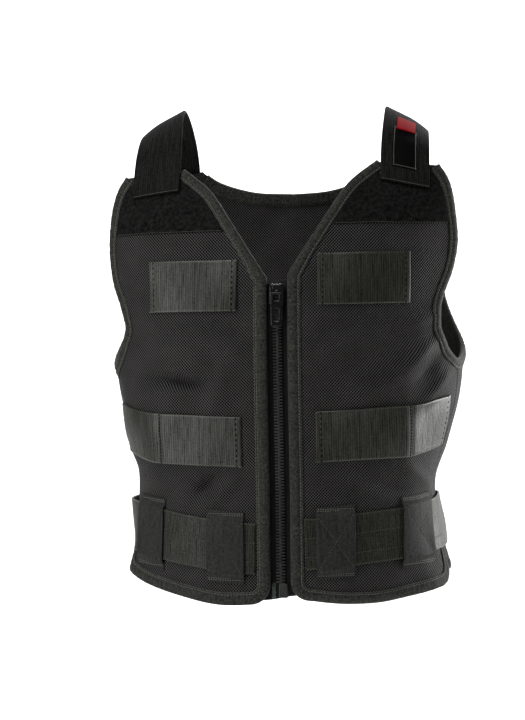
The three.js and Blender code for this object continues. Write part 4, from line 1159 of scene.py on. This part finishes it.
# %% The tree that sets parts along a row
def new_tree(name, *sockets):
    """A Geometry Nodes tree with its named inputs; returns the tree and its sockets' identifiers."""
    tree = bpy.data.node_groups.new(name, "GeometryNodeTree")
    tree.interface.new_socket("Geometry", in_out="INPUT", socket_type="NodeSocketGeometry")
    names = {}
    for label, kind in sockets:
        names[label] = tree.interface.new_socket(label, in_out="INPUT", socket_type=kind).identifier
    tree.interface.new_socket("Geometry", in_out="OUTPUT", socket_type="NodeSocketGeometry")
    return tree, names


def close_tree(tree, placed, given):
    """Ends a tree with real geometry in the finish that is given."""
    real = add_node(tree, "GeometryNodeRealizeInstances", {0: placed})
    dressed = {"Geometry": real, "Material": given.outputs["Finish"]}
    finished = add_node(tree, "GeometryNodeSetMaterial", dressed)
    add_node(tree, "NodeGroupOutput", {0: finished})


def row_tree():
    tree, names = new_tree(
        "parts along a row", ("Part", "NodeSocketObject"), ("Length", "NodeSocketFloat"),
        ("Width", "NodeSocketFloat"), ("Height", "NodeSocketFloat"), ("Finish", "NodeSocketMaterial"),
    )
    given = add_node(tree, "NodeGroupInput")
    part = add_node(tree, "GeometryNodeObjectInfo", {"Object": given.outputs["Part"]})
    along = add_node(tree, "GeometryNodeInputNamedAttribute", {"Name": "along"}, data_type="FLOAT_VECTOR")
    out = add_node(tree, "GeometryNodeInputNamedAttribute", {"Name": "out"}, data_type="FLOAT_VECTOR")
    turn = add_node(
        tree, "FunctionNodeAxesToRotation", {0: out, 1: along}, primary_axis="Z", secondary_axis="X"
    )
    sizes = {k: given.outputs[label] for k, label in enumerate(("Length", "Width", "Height"))}
    size = add_node(tree, "ShaderNodeCombineXYZ", sizes)
    placed = add_node(tree, "GeometryNodeInstanceOnPoints", {
        "Points": given.outputs["Geometry"], "Instance": part.outputs["Geometry"],
        "Rotation": turn, "Scale": size,
    })
    close_tree(tree, placed, given)
    return tree, names


def grown(name, source, tree, values):
    """Runs a tree on an object and returns the result as a plain mesh object."""
    modifier = source.modifiers.new("grow", "NODES")
    modifier.node_group = tree
    for identifier, value in values.items():
        modifier[identifier] = value
    bpy.context.view_layer.update()
    graph = bpy.context.evaluated_depsgraph_get()
    mesh = bpy.data.meshes.new_from_object(source.evaluated_get(graph))
    mesh.name = name
    source.modifiers.remove(modifier)
    return add_object(name, mesh)


def row_points(rows):
    """An object that holds only the points of some rows, with their two directions."""
    points, along, out = (np.concatenate([row[k] for row in rows]) for k in range(3))
    mesh = bpy.data.meshes.new("row")
    mesh.from_pydata(points * MM, [], [])
    for label, values in (("along", along), ("out", out)):
        layer = mesh.attributes.new(label, "FLOAT_VECTOR", "POINT")
        layer.data.foreach_set("vector", values.astype(np.float32).ravel())
    return add_object("row", mesh)


def set_along(name, rows, part, size, finish):
    holder = row_points(rows)
    tree, names = ROW_TREE
    values = dict(zip(names.values(), (part, *size, finish)))
    made[name] = grown(name, holder, tree, values)
    bpy.data.objects.remove(holder)


ROW_TREE = row_tree()
print("tree inputs", list(ROW_TREE[1]))

# %% [markdown]
# ## Zip teeth
# A tooth is a short bar that grips the tape, with a wider head that locks between its two neighbours.
# It is drawn once in millimetres, bevelled, and set every three millimetres, one side half a step above
# the other.

# %% Teeth
TOOTH_PITCH, TOOTH_DEPTH = 3.1, 3.0
CHAIN_TOP_Z, CHAIN_BOTTOM_Z = -176, -473.5
CHAIN_LIFT = -0.2


def make_tooth():
    """X runs along the zip, Y across it towards the other side, Z out of the cloth."""
    outline = [
        (-0.62, -4.4), (0.62, -4.4), (0.62, -1.2), (0.98, -0.4), (0.98, 0.5), (0.55, 1.15), (-0.55, 1.15),
        (-0.98, 0.5), (-0.98, -0.4), (-0.62, -1.2),
    ]
    shape = bmesh.new()
    face = shape.faces.new([shape.verts.new((x, y, -TOOTH_DEPTH / 2)) for x, y in outline])
    top = bmesh.ops.extrude_face_region(shape, geom=[face])["geom"]
    raised = [v for v in top if isinstance(v, bmesh.types.BMVert)]
    bmesh.ops.translate(shape, vec=(0, 0, TOOTH_DEPTH), verts=raised)
    rim = [e for e in shape.edges if all(v.co.z > 0 for v in e.verts)]
    bmesh.ops.bevel(shape, geom=rim, offset=0.3, segments=1, affect="EDGES")
    bmesh.ops.recalc_face_normals(shape, faces=shape.faces)
    mesh = bpy.data.meshes.new("tooth")
    shape.to_mesh(mesh)
    shape.free()
    return add_object("tooth", mesh)


def zip_rows():
    chain = wrap(0.0, np.linspace(CHAIN_BOTTOM_Z, CHAIN_TOP_Z, 400), CHAIN_LIFT)
    line = resampled(chain, TOOTH_PITCH / 2)
    above = np.gradient(line, axis=0)
    across = np.broadcast_to((1.0, 0, 0), line.shape)
    out = np.cross(across, above)
    out /= np.linalg.norm(out, axis=1, keepdims=True)
    return [(line[0::2], above[0::2], out[0::2]), (line[1::2], -above[1::2], out[1::2])]


tooth = make_tooth()
set_along("zip_teeth", zip_rows(), tooth, (MM, MM, MM), ACETAL)
bpy.data.objects.remove(tooth)
print("teeth faces", len(made["zip_teeth"].data.polygons))

# %% [markdown]
# ## Slider, pull, box and film
# These small castings are flat plates with rounded corners and soft edges. A filled curve with a bevel
# makes such a plate, holes included, and is then turned into a mesh and set in the zip's own frame: X
# across, Y out of the cloth and Z up it.

# %% Plates in the zip's frame
SLIDER_Z, SLIDER_HALF, SLIDER_REACH, SLIDER_TAPER = -184, 7.5, 10.5, 1.4
PLATE_BACK, PLATE_FRONT, WALL_U, WALL_HALF = 2.1, 4.1, 6.3, 1.1
BAIL_OUTER, BAIL_INNER, BAIL_HALF, BAIL_RISE, BAIL_FOOT, BAIL_ROOM = 4.1, 2.5, 1.6, 1.4, -0.8, 4.0
PULL_HALF, PULL_Z, PULL_HALF_THICK = 6, (-32.8, 1.2), 1.2
# half width, bottom, top and corner radius of the pull's two holes; the upper one takes the bail
PULL_HOLES = [(2.4, -7.2, -1.2, 0.6), (2.4, -28, -15, 0.9)]
BOX_Z, BOX_U, BOX_HALF, BOX_REACH, BOX_LIFT = -481, 2.5, 4.5, 7, (-1.9, 2.1)


def zip_frame(z):
    steps = (NORMAL_STEP, -NORMAL_STEP)
    above, below = (form_point(np.array(0.0), np.array(z + step)) for step in steps)
    up = above - below
    tilt = -math.atan2(up[1], up[2])
    return Matrix.Translation(Vector(wrap(0.0, z, 0.0))) @ Matrix.Rotation(tilt, 4, "X")


def rounded(half_width, bottom, top, radius, steps=5, narrow=0.0):
    """Outline of a plate with round corners, its lower end narrower on each side."""
    points = []
    corners = [
        (half_width - radius, top - radius, 0), (radius - half_width, top - radius, 90),
        (radius - half_width + narrow, bottom + radius, 180),
        (half_width - radius - narrow, bottom + radius, 270),
    ]
    for x, z, start in corners:
        points += arc_of((x, z), radius, start, start + 90, steps).tolist()
    return points


def clean(mesh):
    """Joins points that fall together and turns all faces outward."""
    shape = bmesh.new()
    shape.from_mesh(mesh)
    bmesh.ops.remove_doubles(shape, verts=shape.verts, dist=0.01 * MM)
    bmesh.ops.recalc_face_normals(shape, faces=shape.faces)
    shape.to_mesh(mesh)
    shape.free()


def plate(name, outlines, low, high, bevel, frame_matrix, finish):
    """Plate between two lifts, from flat outlines in millimetres of which the later ones are holes."""
    curve = bpy.data.curves.new(name, "CURVE")
    curve.dimensions, curve.fill_mode = "2D", "BOTH"
    curve.extrude = (high - low) / 2 - bevel
    curve.bevel_depth, curve.bevel_resolution, curve.offset = bevel, 2, -bevel
    for outline in outlines:
        line = curve.splines.new("POLY")
        line.points.add(len(outline) - 1)
        line.points.foreach_set("co", np.array([(x, z, 0, 1) for x, z in outline], np.float32).ravel())
        line.use_cyclic_u = True
    holder = add_object(name, curve)
    graph = bpy.context.evaluated_depsgraph_get()
    mesh = bpy.data.meshes.new_from_object(holder.evaluated_get(graph))
    bpy.data.objects.remove(holder)
    stand = Matrix.Translation((0, -(low + high) / 2, 0)) @ Matrix.Rotation(math.radians(90), 4, "X")
    mesh.transform(Matrix.Scale(MM, 4) @ frame_matrix @ stand)
    clean(mesh)
    mesh.name = name
    mesh.materials.clear()
    mesh.materials.append(finish)
    return add_object(name, mesh)


def merged(name, *parts):
    """One object from several, kept in place."""
    shape = bmesh.new()
    for part in parts:
        shape.from_mesh(part.data)
    mesh = bpy.data.meshes.new(name)
    shape.to_mesh(mesh)
    shape.free()
    mesh.materials.append(parts[0].data.materials[0])
    for part in parts:
        bpy.data.objects.remove(part)
    return add_object(name, mesh)


def make_slider():
    at = zip_frame(SLIDER_Z)
    face = rounded(SLIDER_HALF, -SLIDER_REACH, SLIDER_REACH, 3, narrow=SLIDER_TAPER)
    front = plate("front", [face], PLATE_BACK, PLATE_FRONT, 0.6, at, LACQUER)
    walls = []
    for side in (-1, 1):
        wall = [(side * WALL_U + x, z) for x, z in rounded(WALL_HALF, -9.5, 8.5, 0.8)]
        walls.append(plate("wall", [wall], -1.6, 2.6, 0.3, at, LACQUER))
    low, high = PLATE_FRONT - 0.4, PLATE_FRONT + 0.5
    crown = plate("crown", [rounded(4.6, 4.6, 9.6, 1.6)], low, high, 0.4, at, LACQUER)
    arch, hole = (
        arc_of((0, BAIL_RISE), radius, 0, 180, 14).tolist() for radius in (BAIL_OUTER, BAIL_INNER)
    )
    outside = [(-BAIL_OUTER, BAIL_FOOT), *arch[::-1], (BAIL_OUTER, BAIL_FOOT)]
    inside = [(BAIL_INNER, BAIL_FOOT), *hole, (-BAIL_INNER, BAIL_FOOT)]
    side_on = at @ Matrix.Translation((0, -PLATE_FRONT, 0)) @ Matrix.Rotation(math.radians(-90), 4, "X")
    side_on = side_on @ Matrix.Rotation(math.radians(90), 4, "Z")
    bail = plate("bail", [outside + inside], -BAIL_HALF, BAIL_HALF, 0.4, side_on, LACQUER)
    made["slider"] = merged("slider", front, *walls, crown, bail)


def make_pull():
    hinge = zip_frame(SLIDER_Z) @ Matrix.Translation((0, -PLATE_FRONT - BAIL_ROOM / 2, 0))
    outlines = [rounded(PULL_HALF, *PULL_Z, 2.2, narrow=0.3)]
    outlines += [rounded(*hole, steps=3) for hole in PULL_HOLES]
    made["pull"] = plate("pull", outlines, -PULL_HALF_THICK, PULL_HALF_THICK, 0.45, hinge, LACQUER)


make_slider()
make_pull()
box_outline = [(x + BOX_U, z) for x, z in rounded(BOX_HALF, -BOX_REACH, BOX_REACH, 1.2)]
made["zip_foot"] = plate("zip_foot", [box_outline], *BOX_LIFT, 0.7, zip_frame(BOX_Z), ACETAL)
print("slider faces", len(made["slider"].data.polygons), "pull faces", len(made["pull"].data.polygons))

# %% The film on the tape end
FILM_U, FILM_Z = (5.2, 9.4), (-488, -472)
FILM_LIFT, FILM_THICK, FILM_RIM = -1.9, 0.7, 0.3
FILM_GRID = flat_grid(spaced(*FILM_U, 1.0, FILM_RIM), spaced(*FILM_Z, 1.5, FILM_RIM))
shell("film", FILM_GRID, SIDES[0], FILM_LIFT, FILM_THICK, FILM_RIM, FILM)
print("film", FILM_U, FILM_Z)

# %% [markdown]
# ## Stitching
# Every seam shows its thread: light along the inner edge of each binding, worn along the yokes, the strap
# ends and the belt and crossed on the loops, dark down the ends and the seams of the webbing, and short
# tacks at the ends of the loops and round the patch. A stitch is a small bead of thread, a little sunk at
# both ends. Rows are drawn flat, resampled at the stitch spacing and laid on the cloth.

# %% Stitches
STITCH_PITCH = 3.2
# place along the stitch, radius, height
BEAD_RINGS = [
    (-0.5, 0.12, -0.3), (-0.34, 0.42, 0.0), (0.0, 0.5, 0.12), (0.34, 0.42, 0.0), (0.5, 0.12, -0.3),
]


def tube_faces(rings, sides):
    """Quads round a tube of rings of points."""
    index = np.arange(rings * sides).reshape(rings, sides)
    return grid_quads(np.concatenate([index, index[:, :1]], axis=1)).tolist()


def make_bead(sides=6):
    """A stitch one millimetre long, wide and high, with X along it."""
    points = []
    for x, radius, rise in BEAD_RINGS:
        for k in range(sides):
            a = TURN * k / sides
            points.append((x / MM, radius * math.cos(a) / MM, (radius * math.sin(a) + rise) / MM))
    faces = tube_faces(len(BEAD_RINGS), sides)
    last = len(points) - sides
    faces += [list(range(sides))[::-1], list(range(last, last + sides))]
    bead = make_piece("bead", points, faces, THREAD)
    clean(bead.data)
    return bead


def stitch_row(line, place, lift, pitch=STITCH_PITCH):
    """Points, directions along and directions out, for stitches on a flat line laid on cloth."""
    line = resampled(np.asarray(line, float), pitch)
    points = place(line[None], lift)[0]
    out = place(line[None], np.asarray(lift) + 1.0)[0] - points
    return points, np.gradient(points, axis=0), out


def straight(a, b):
    return stretch_of([a, b], 40)


bead = make_bead()
print("bead faces", len(bead.data.polygons))

# %% Stitch rows
TAPE_TOP = PANEL + TAPE_GAP + 0.6 * TAPE + 0.3
WEB_TOP = WEB_LOW + WEB + 0.15
SEAM_TOP = WEB_TOP + WAIST_STAND - 0.75
BELT_TOP = WEB_TOP + 0.5
YOKE_FACE = PANEL + YOKE + 0.1
QUILT_TOP = WEB_LOW + WEB + BELT_ROOM + LOOP_CLEAR + LOOP_THICK - 0.3
TACK_TOP = WEB_LOW + LOOP_THICK - 0.1
END_INSET, END_PITCH, EDGE_PITCH = 5, 5.2, 1.7
BELT_ROWS = (6, -13)
TACK_ROWS, TACK_PITCH = (-33.2, -31.4, 31.4, 33.2), 2.4
BORDER_INSET, BORDER_PITCH = 1.6, 2.2


def upright(u, z):
    """A line across webbing, short of its selvedges."""
    return straight((u, z - WEB_WIDTH / 2 + 1.5), (u, z + WEB_WIDTH / 2 - 1.5))


def dark_lines(lay):
    """Down both ends of each length of webbing, and down the seam of the one at the waist."""
    rows = []
    for line in (CHEST_LINE, WAIST_LINE):
        for (u, z), inset in ((line[0], END_INSET), (line[-1], -END_INSET)):
            rows.append(stitch_row(upright(u + inset, z), lay.place, WEB_TOP, END_PITCH))
    seam = WAIST_SEAMS[lay.name]
    seam_z = np.interp(seam, *stretch_of(WAIST_LINE, 200).T)
    return rows + [stitch_row(upright(seam, seam_z), lay.place, SEAM_TOP)]


def edge_lines(lay):
    """Along the lower edge of the yoke and the end of the strap, and crossed on the loops."""
    hem = YOKE_GRID[0, 5:-5] + (0, 0.7)
    end = straight((2 - STRAP_WIDTH / 2, 1.0), (STRAP_WIDTH / 2 - 2, 1.0))
    rows = [
        stitch_row(hem, lay.place, YOKE_FACE, EDGE_PITCH),
        stitch_row(end, STRAPS[lay.name].place, STRAP_THICK - 0.1, EDGE_PITCH),
    ]
    for _, u, width in LOOPS:
        half, reach = width / 2 - QUILT_SIDE, LOOP_HALF - QUILT_END
        for rise in (-reach, reach):
            corners = [(u + way * half, belt_z(u + way * half, lay) + way * rise) for way in (-1, 1)]
            line = straight(*corners)
            over = belt_bow(lay.sign * line[:, 0], line[:, 1]).mean() + QUILT_TOP
            rows.append(stitch_row(line, lay.place, over))
    return rows


def belt_line(lay, offset):
    u = np.linspace(BELT_FRONT[0][0] + 2, BELT_FRONT[-1][0], 120)
    line = np.stack([u, belt_z(u, lay) + offset], axis=-1)
    return stitch_row(line, lay.place, BELT_TOP + belt_bow(lay.sign * u, line[:, 1]).mean())


def tack_lines():
    """Bar tacks at both ends of each loop, and the border of the patch."""
    rows = []
    for lay in SIDES:
        for _, u, width in LOOPS:
            for offset in TACK_ROWS:
                z = belt_z(u, lay) + offset
                line = straight((u - width / 2 + 2, z), (u + width / 2 - 2, z))
                rows.append(stitch_row(line, lay.place, TACK_TOP, TACK_PITCH))
    x0, x1 = (PATCH_AREA[0] + way * (PATCH_AREA[1] / 2 - BORDER_INSET) for way in (-1, 1))
    y0, y1 = PATCH_AREA[2] + BORDER_INSET, PATCH_AREA[3] - BORDER_INSET
    border = [(x0, y0), (x1, y0), (x1, y1), (x0, y1)]
    for a, b in zip(border, border[1:] + border[:1]):
        rows.append(stitch_row(straight(a, b), left_strap.place, PATCH_TOP, BORDER_PITCH))
    return rows


light_rows = [
    stitch_row(path + inward(path) * STITCH_INSET * share[:, None], lay.place, TAPE_TOP)
    for path, share, lay in bound
]
edge_rows = [row for lay in SIDES for row in edge_lines(lay)]
edge_rows += [belt_line(lay, offset) for offset in BELT_ROWS for lay in SIDES]
dark_rows = [row for lay in SIDES for row in dark_lines(lay)]
STITCHES = [
    # name, rows, length, width and height of a stitch, thread
    ("light", light_rows, (2.5, 0.75, 0.5), THREAD),
    ("edge", edge_rows, (1.9, 0.7, 0.6), EDGE_THREAD),
    ("dark", dark_rows, (2.5, 1.3, 0.5), DARK_THREAD),
    ("tack", tack_lines(), (1.8, 0.8, 0.5), THREAD),
]
for name, rows, size, thread in STITCHES:
    set_along(f"{name}_stitches", rows, bead, [length * MM for length in size], thread)
bpy.data.objects.remove(bead)
print("stitch faces", {n: len(o.data.polygons) for n, o in made.items() if "stitches" in n})

# %% [markdown]
# ## The pile on the yokes
# A second tree scatters small arches of thread on the outer face of each yoke, turned at random from a
# fixed seed so that every run gives the same pile.

# %% Pile
PILE_SPACING, PILE_SIZE, PILE_SUNK, PILE_SEED = 1.5, 1.3, 0.15, 7
MOST_LOOPS = 1.2e6


def make_arch(steps=5, sides=3):
    """A loop of thread about one millimetre wide, standing on Z."""
    radius, thread = 0.5, 0.16
    points = []
    for a in np.linspace(0, math.pi, steps + 1):
        outward = Vector((math.cos(a), 0, math.sin(a)))
        for k in range(sides):
            b = TURN * k / sides
            ring = thread * (outward * math.cos(b) + Vector((0, math.sin(b), 0)))
            points.append((radius * outward + ring) / MM)
    return make_piece("arch", points, tube_faces(steps + 1, sides), LOOP_PILE)


def pile_tree():
    tree, names = new_tree(
        "pile on a face", ("Arch", "NodeSocketObject"), ("Spacing", "NodeSocketFloat"),
        ("Size", "NodeSocketFloat"), ("Seed", "NodeSocketInt"), ("Finish", "NodeSocketMaterial"),
    )
    given = add_node(tree, "NodeGroupInput")
    arch = add_node(tree, "GeometryNodeObjectInfo", {"Object": given.outputs["Arch"]})
    scattered = add_node(tree, "GeometryNodeDistributePointsOnFaces", {
        "Mesh": given.outputs["Geometry"], "Distance Min": given.outputs["Spacing"],
        "Density Max": MOST_LOOPS, "Seed": given.outputs["Seed"],
    }, distribute_method="POISSON")
    spin = add_node(
        tree, "FunctionNodeRandomValue", {2: 0.0, 3: TURN, "Seed": given.outputs["Seed"]}, data_type="FLOAT"
    )
    about = add_node(tree, "ShaderNodeCombineXYZ", {2: spin.outputs[1]})
    turned = add_node(
        tree, "FunctionNodeRotateRotation", {"Rotation": scattered.outputs["Rotation"], "Rotate By": about},
        rotation_space="LOCAL",
    )
    placed = add_node(tree, "GeometryNodeInstanceOnPoints", {
        "Points": scattered, "Instance": arch.outputs["Geometry"], "Rotation": turned,
        "Scale": given.outputs["Size"],
    })
    close_tree(tree, placed, given)
    return tree, names


def make_pile(lay):
    inner = YOKE_GRID[3:-3, 3:-3]
    index = np.arange(inner.shape[0] * inner.shape[1]).reshape(inner.shape[:2])
    faces = grid_quads(index, lay.sign < 0).tolist()
    points = lay.place(inner, YOKE_LOW + YOKE - PILE_SUNK).reshape(-1, 3)
    ground = make_piece("ground", points, faces, LOOP_PILE)
    tree, names = PILE_TREE
    values = dict(zip(names.values(), (arch, PILE_SPACING * MM, PILE_SIZE * MM, PILE_SEED, LOOP_PILE)))
    made[f"pile_{lay.name}"] = grown(f"pile_{lay.name}", ground, tree, values)
    bpy.data.objects.remove(ground)


PILE_TREE = pile_tree()
arch = make_arch()
for lay in SIDES:
    make_pile(lay)
bpy.data.objects.remove(arch)
print("pile faces", {n: len(o.data.polygons) for n, o in made.items() if "pile" in n})

# %% [markdown]
# ## What each piece stands for
# Every piece rides on a body of the model, and the plain solids it stands for are hidden. The size the
# tapes, webbing, loops and straps were cut to, a width and a length, is worked out alongside, though
# nothing uses it.


def seam_length(path, lay):
    """Length of a bound edge on the worn vest, in metres."""
    return run_length(lay.place(path[None], PANEL)[0])[-1] * MM


def declare(name, nodes, body="vest"):
    piece = made[name]
    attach(piece, body)
    if nodes:
        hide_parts(*nodes)


TAPE_CUT, WEB_CUT = (2 * TAPE_WIDTH + PANEL + 2 * TAPE) * MM, WEB_WIDTH * MM + 0.001
for lay in SIDES:
    side, front = lay.name, [f"mesh_front_{lay.name}"]
    declare(f"mesh_front_{side}", [f"front_panel_{side}"])
    for part, path in (("edge", FRONT_PATH[side]), ("armhole", ARM_PATH)):
        cut = (TAPE_CUT, seam_length(path, lay))
        declare(f"bound_{part}_{side}", [f"{part}_binding_{side}"])
    for part, length in (("chest", 0.095), ("waist", 0.154)):
        cut = (WEB_CUT, length)
        declare(f"webbing_{part}_{side}", [f"{part}_webbing_{side}"])
    for part, _, width in LOOPS:
        cut = (width * MM + 0.001, 0.078)
        declare(f"loop_{part}_{side}", [f"belt_loop_{part}_{side}"])
    declare(f"yoke_{side}", [f"loop_yoke_{side}"])
    declare(f"pile_{side}", [])
    cut = (0.0515, STRAPS[side].length * MM + 0.002)
    declare(f"strap_{side}", [f"shoulder_strap_{side}"])
    declare(f"zip_tape_side_{side}", [f"zip_tape_{side}"])
declare("mesh_back", ["back_panel"])
for part, path in (("hem", HEM_PATH), ("neck", NECK_PATH)):
    cut = (TAPE_CUT, seam_length(path, BACK))
    declare(f"bound_{part}_back", [f"back_{part}_binding"])
declare("belt", ["belt_webbing"])
declare("patch", ["strap_label"])
declare("tab", ["label_tab"])
declare("zip_teeth", ["zip_chain"])
declare("zip_foot", ["zip_box"])
declare("film", ["zip_end_film"])
declare("slider", ["zip_slider"])
declare("pull", ["zip_pull"], body="pull")
for name, slot in (("light", "binding"), ("edge", "webbing"), ("dark", "webbing"), ("tack", "canvas")):
    declare(f"{name}_stitches", [])
triangles = sum(len(o.data.polygons) * 2 for o in made.values())
print("pieces", len(made), "about", triangles, "triangles")

# %% [markdown]
# ## Floor and light
# A pale sweep of paper stands well behind the vest and runs under it, far enough off that the back can be
# looked at too. A tall strip lamp from the front left and a broad one from above give the cloth its grey
# and draw the folds, one from the right and behind gives the webbing its sheen at that side, and a fourth
# whitens the paper. The room gives only a faint fill, but is shown pale, so that no side is seen against
# a dark ground.

# %% Stage and lights
FLOOR_Z, WALL_Y, SWEEP = -1.5, 3.2, 0.8
PAPER_START_Y, PAPER_TOP_Z, PAPER_HALF = -4.5, 3.5, 5.0
ROOM_FILL, ROOM_SEEN = 0.065, 0.7
LAMPS = [
    # name, place, aim, width, height, watts
    ("left_strip", (-1.6, -1.35, -0.3), (0, 0, -0.3), 0.6, 1.8, 22),
    ("right_side", (1.45, 0.5, -0.2), (0.1, 0, -0.3), 1.0, 0.9, 38),
    ("top", (-0.6, -1.1, 1.6), (0, 0, -0.3), 1.2, 1.0, 30),
    ("paper", (0.2, 1.9, 1.9), (0.15, 3.2, -0.5), 2.2, 0.6, 190),
]


def make_paper():
    """Off-white and quite matt, so that it only shows as brightness behind the vest."""
    paper, tree, shader = start_material("matt_paper", Roughness=0.95)
    place = add_node(tree, "ShaderNodeTexCoord")
    grain = add_node(tree, "ShaderNodeTexNoise", {"Vector": place.outputs["Object"], "Scale": 3.0})
    whites = {0: grain, 6: linear("#f4f4f3"), 7: linear("#fafaf9")}
    tone = add_node(tree, "ShaderNodeMix", whites, data_type="RGBA")
    connect(tree, shader, {"Base Color": tone.outputs[2]})
    return paper


def make_stage():
    bend = arc_of((WALL_Y - SWEEP, FLOOR_Z + SWEEP), SWEEP, -90, 0, 12)
    profile = np.concatenate([[(PAPER_START_Y, FLOOR_Z)], bend, [(WALL_Y, PAPER_TOP_Z)]])
    points = [(x, y, z) for y, z in profile for x in (-PAPER_HALF, PAPER_HALF)]
    faces = [(2 * i, 2 * i + 1, 2 * i + 3, 2 * i + 2) for i in range(len(profile) - 1)]
    sweep = make_piece("paper_sweep", np.array(points) / MM, faces, make_paper())


def make_lights():
    for name, place, aim, width, height, watts in LAMPS:
        lamp = bpy.data.lights.new(name, "AREA")
        lamp.shape, lamp.size, lamp.size_y, lamp.energy = "RECTANGLE", width, height, watts
        add_object(name, lamp).matrix_world = facing(place, aim)
    world = bpy.data.worlds.new("studio")
    world.use_nodes = True
    tree = world.node_tree
    seen = add_node(tree, "ShaderNodeLightPath")
    shares = {0: seen.outputs["Is Camera Ray"], 3: ROOM_FILL, 4: ROOM_SEEN}
    strength = add_node(tree, "ShaderNodeMapRange", shares)
    connect(tree, tree.nodes["Background"], {"Color": linear("#f2f2f0"), "Strength": strength})
    scene.world = world


make_stage()
make_lights()
print("lamps", [row[0] for row in LAMPS])
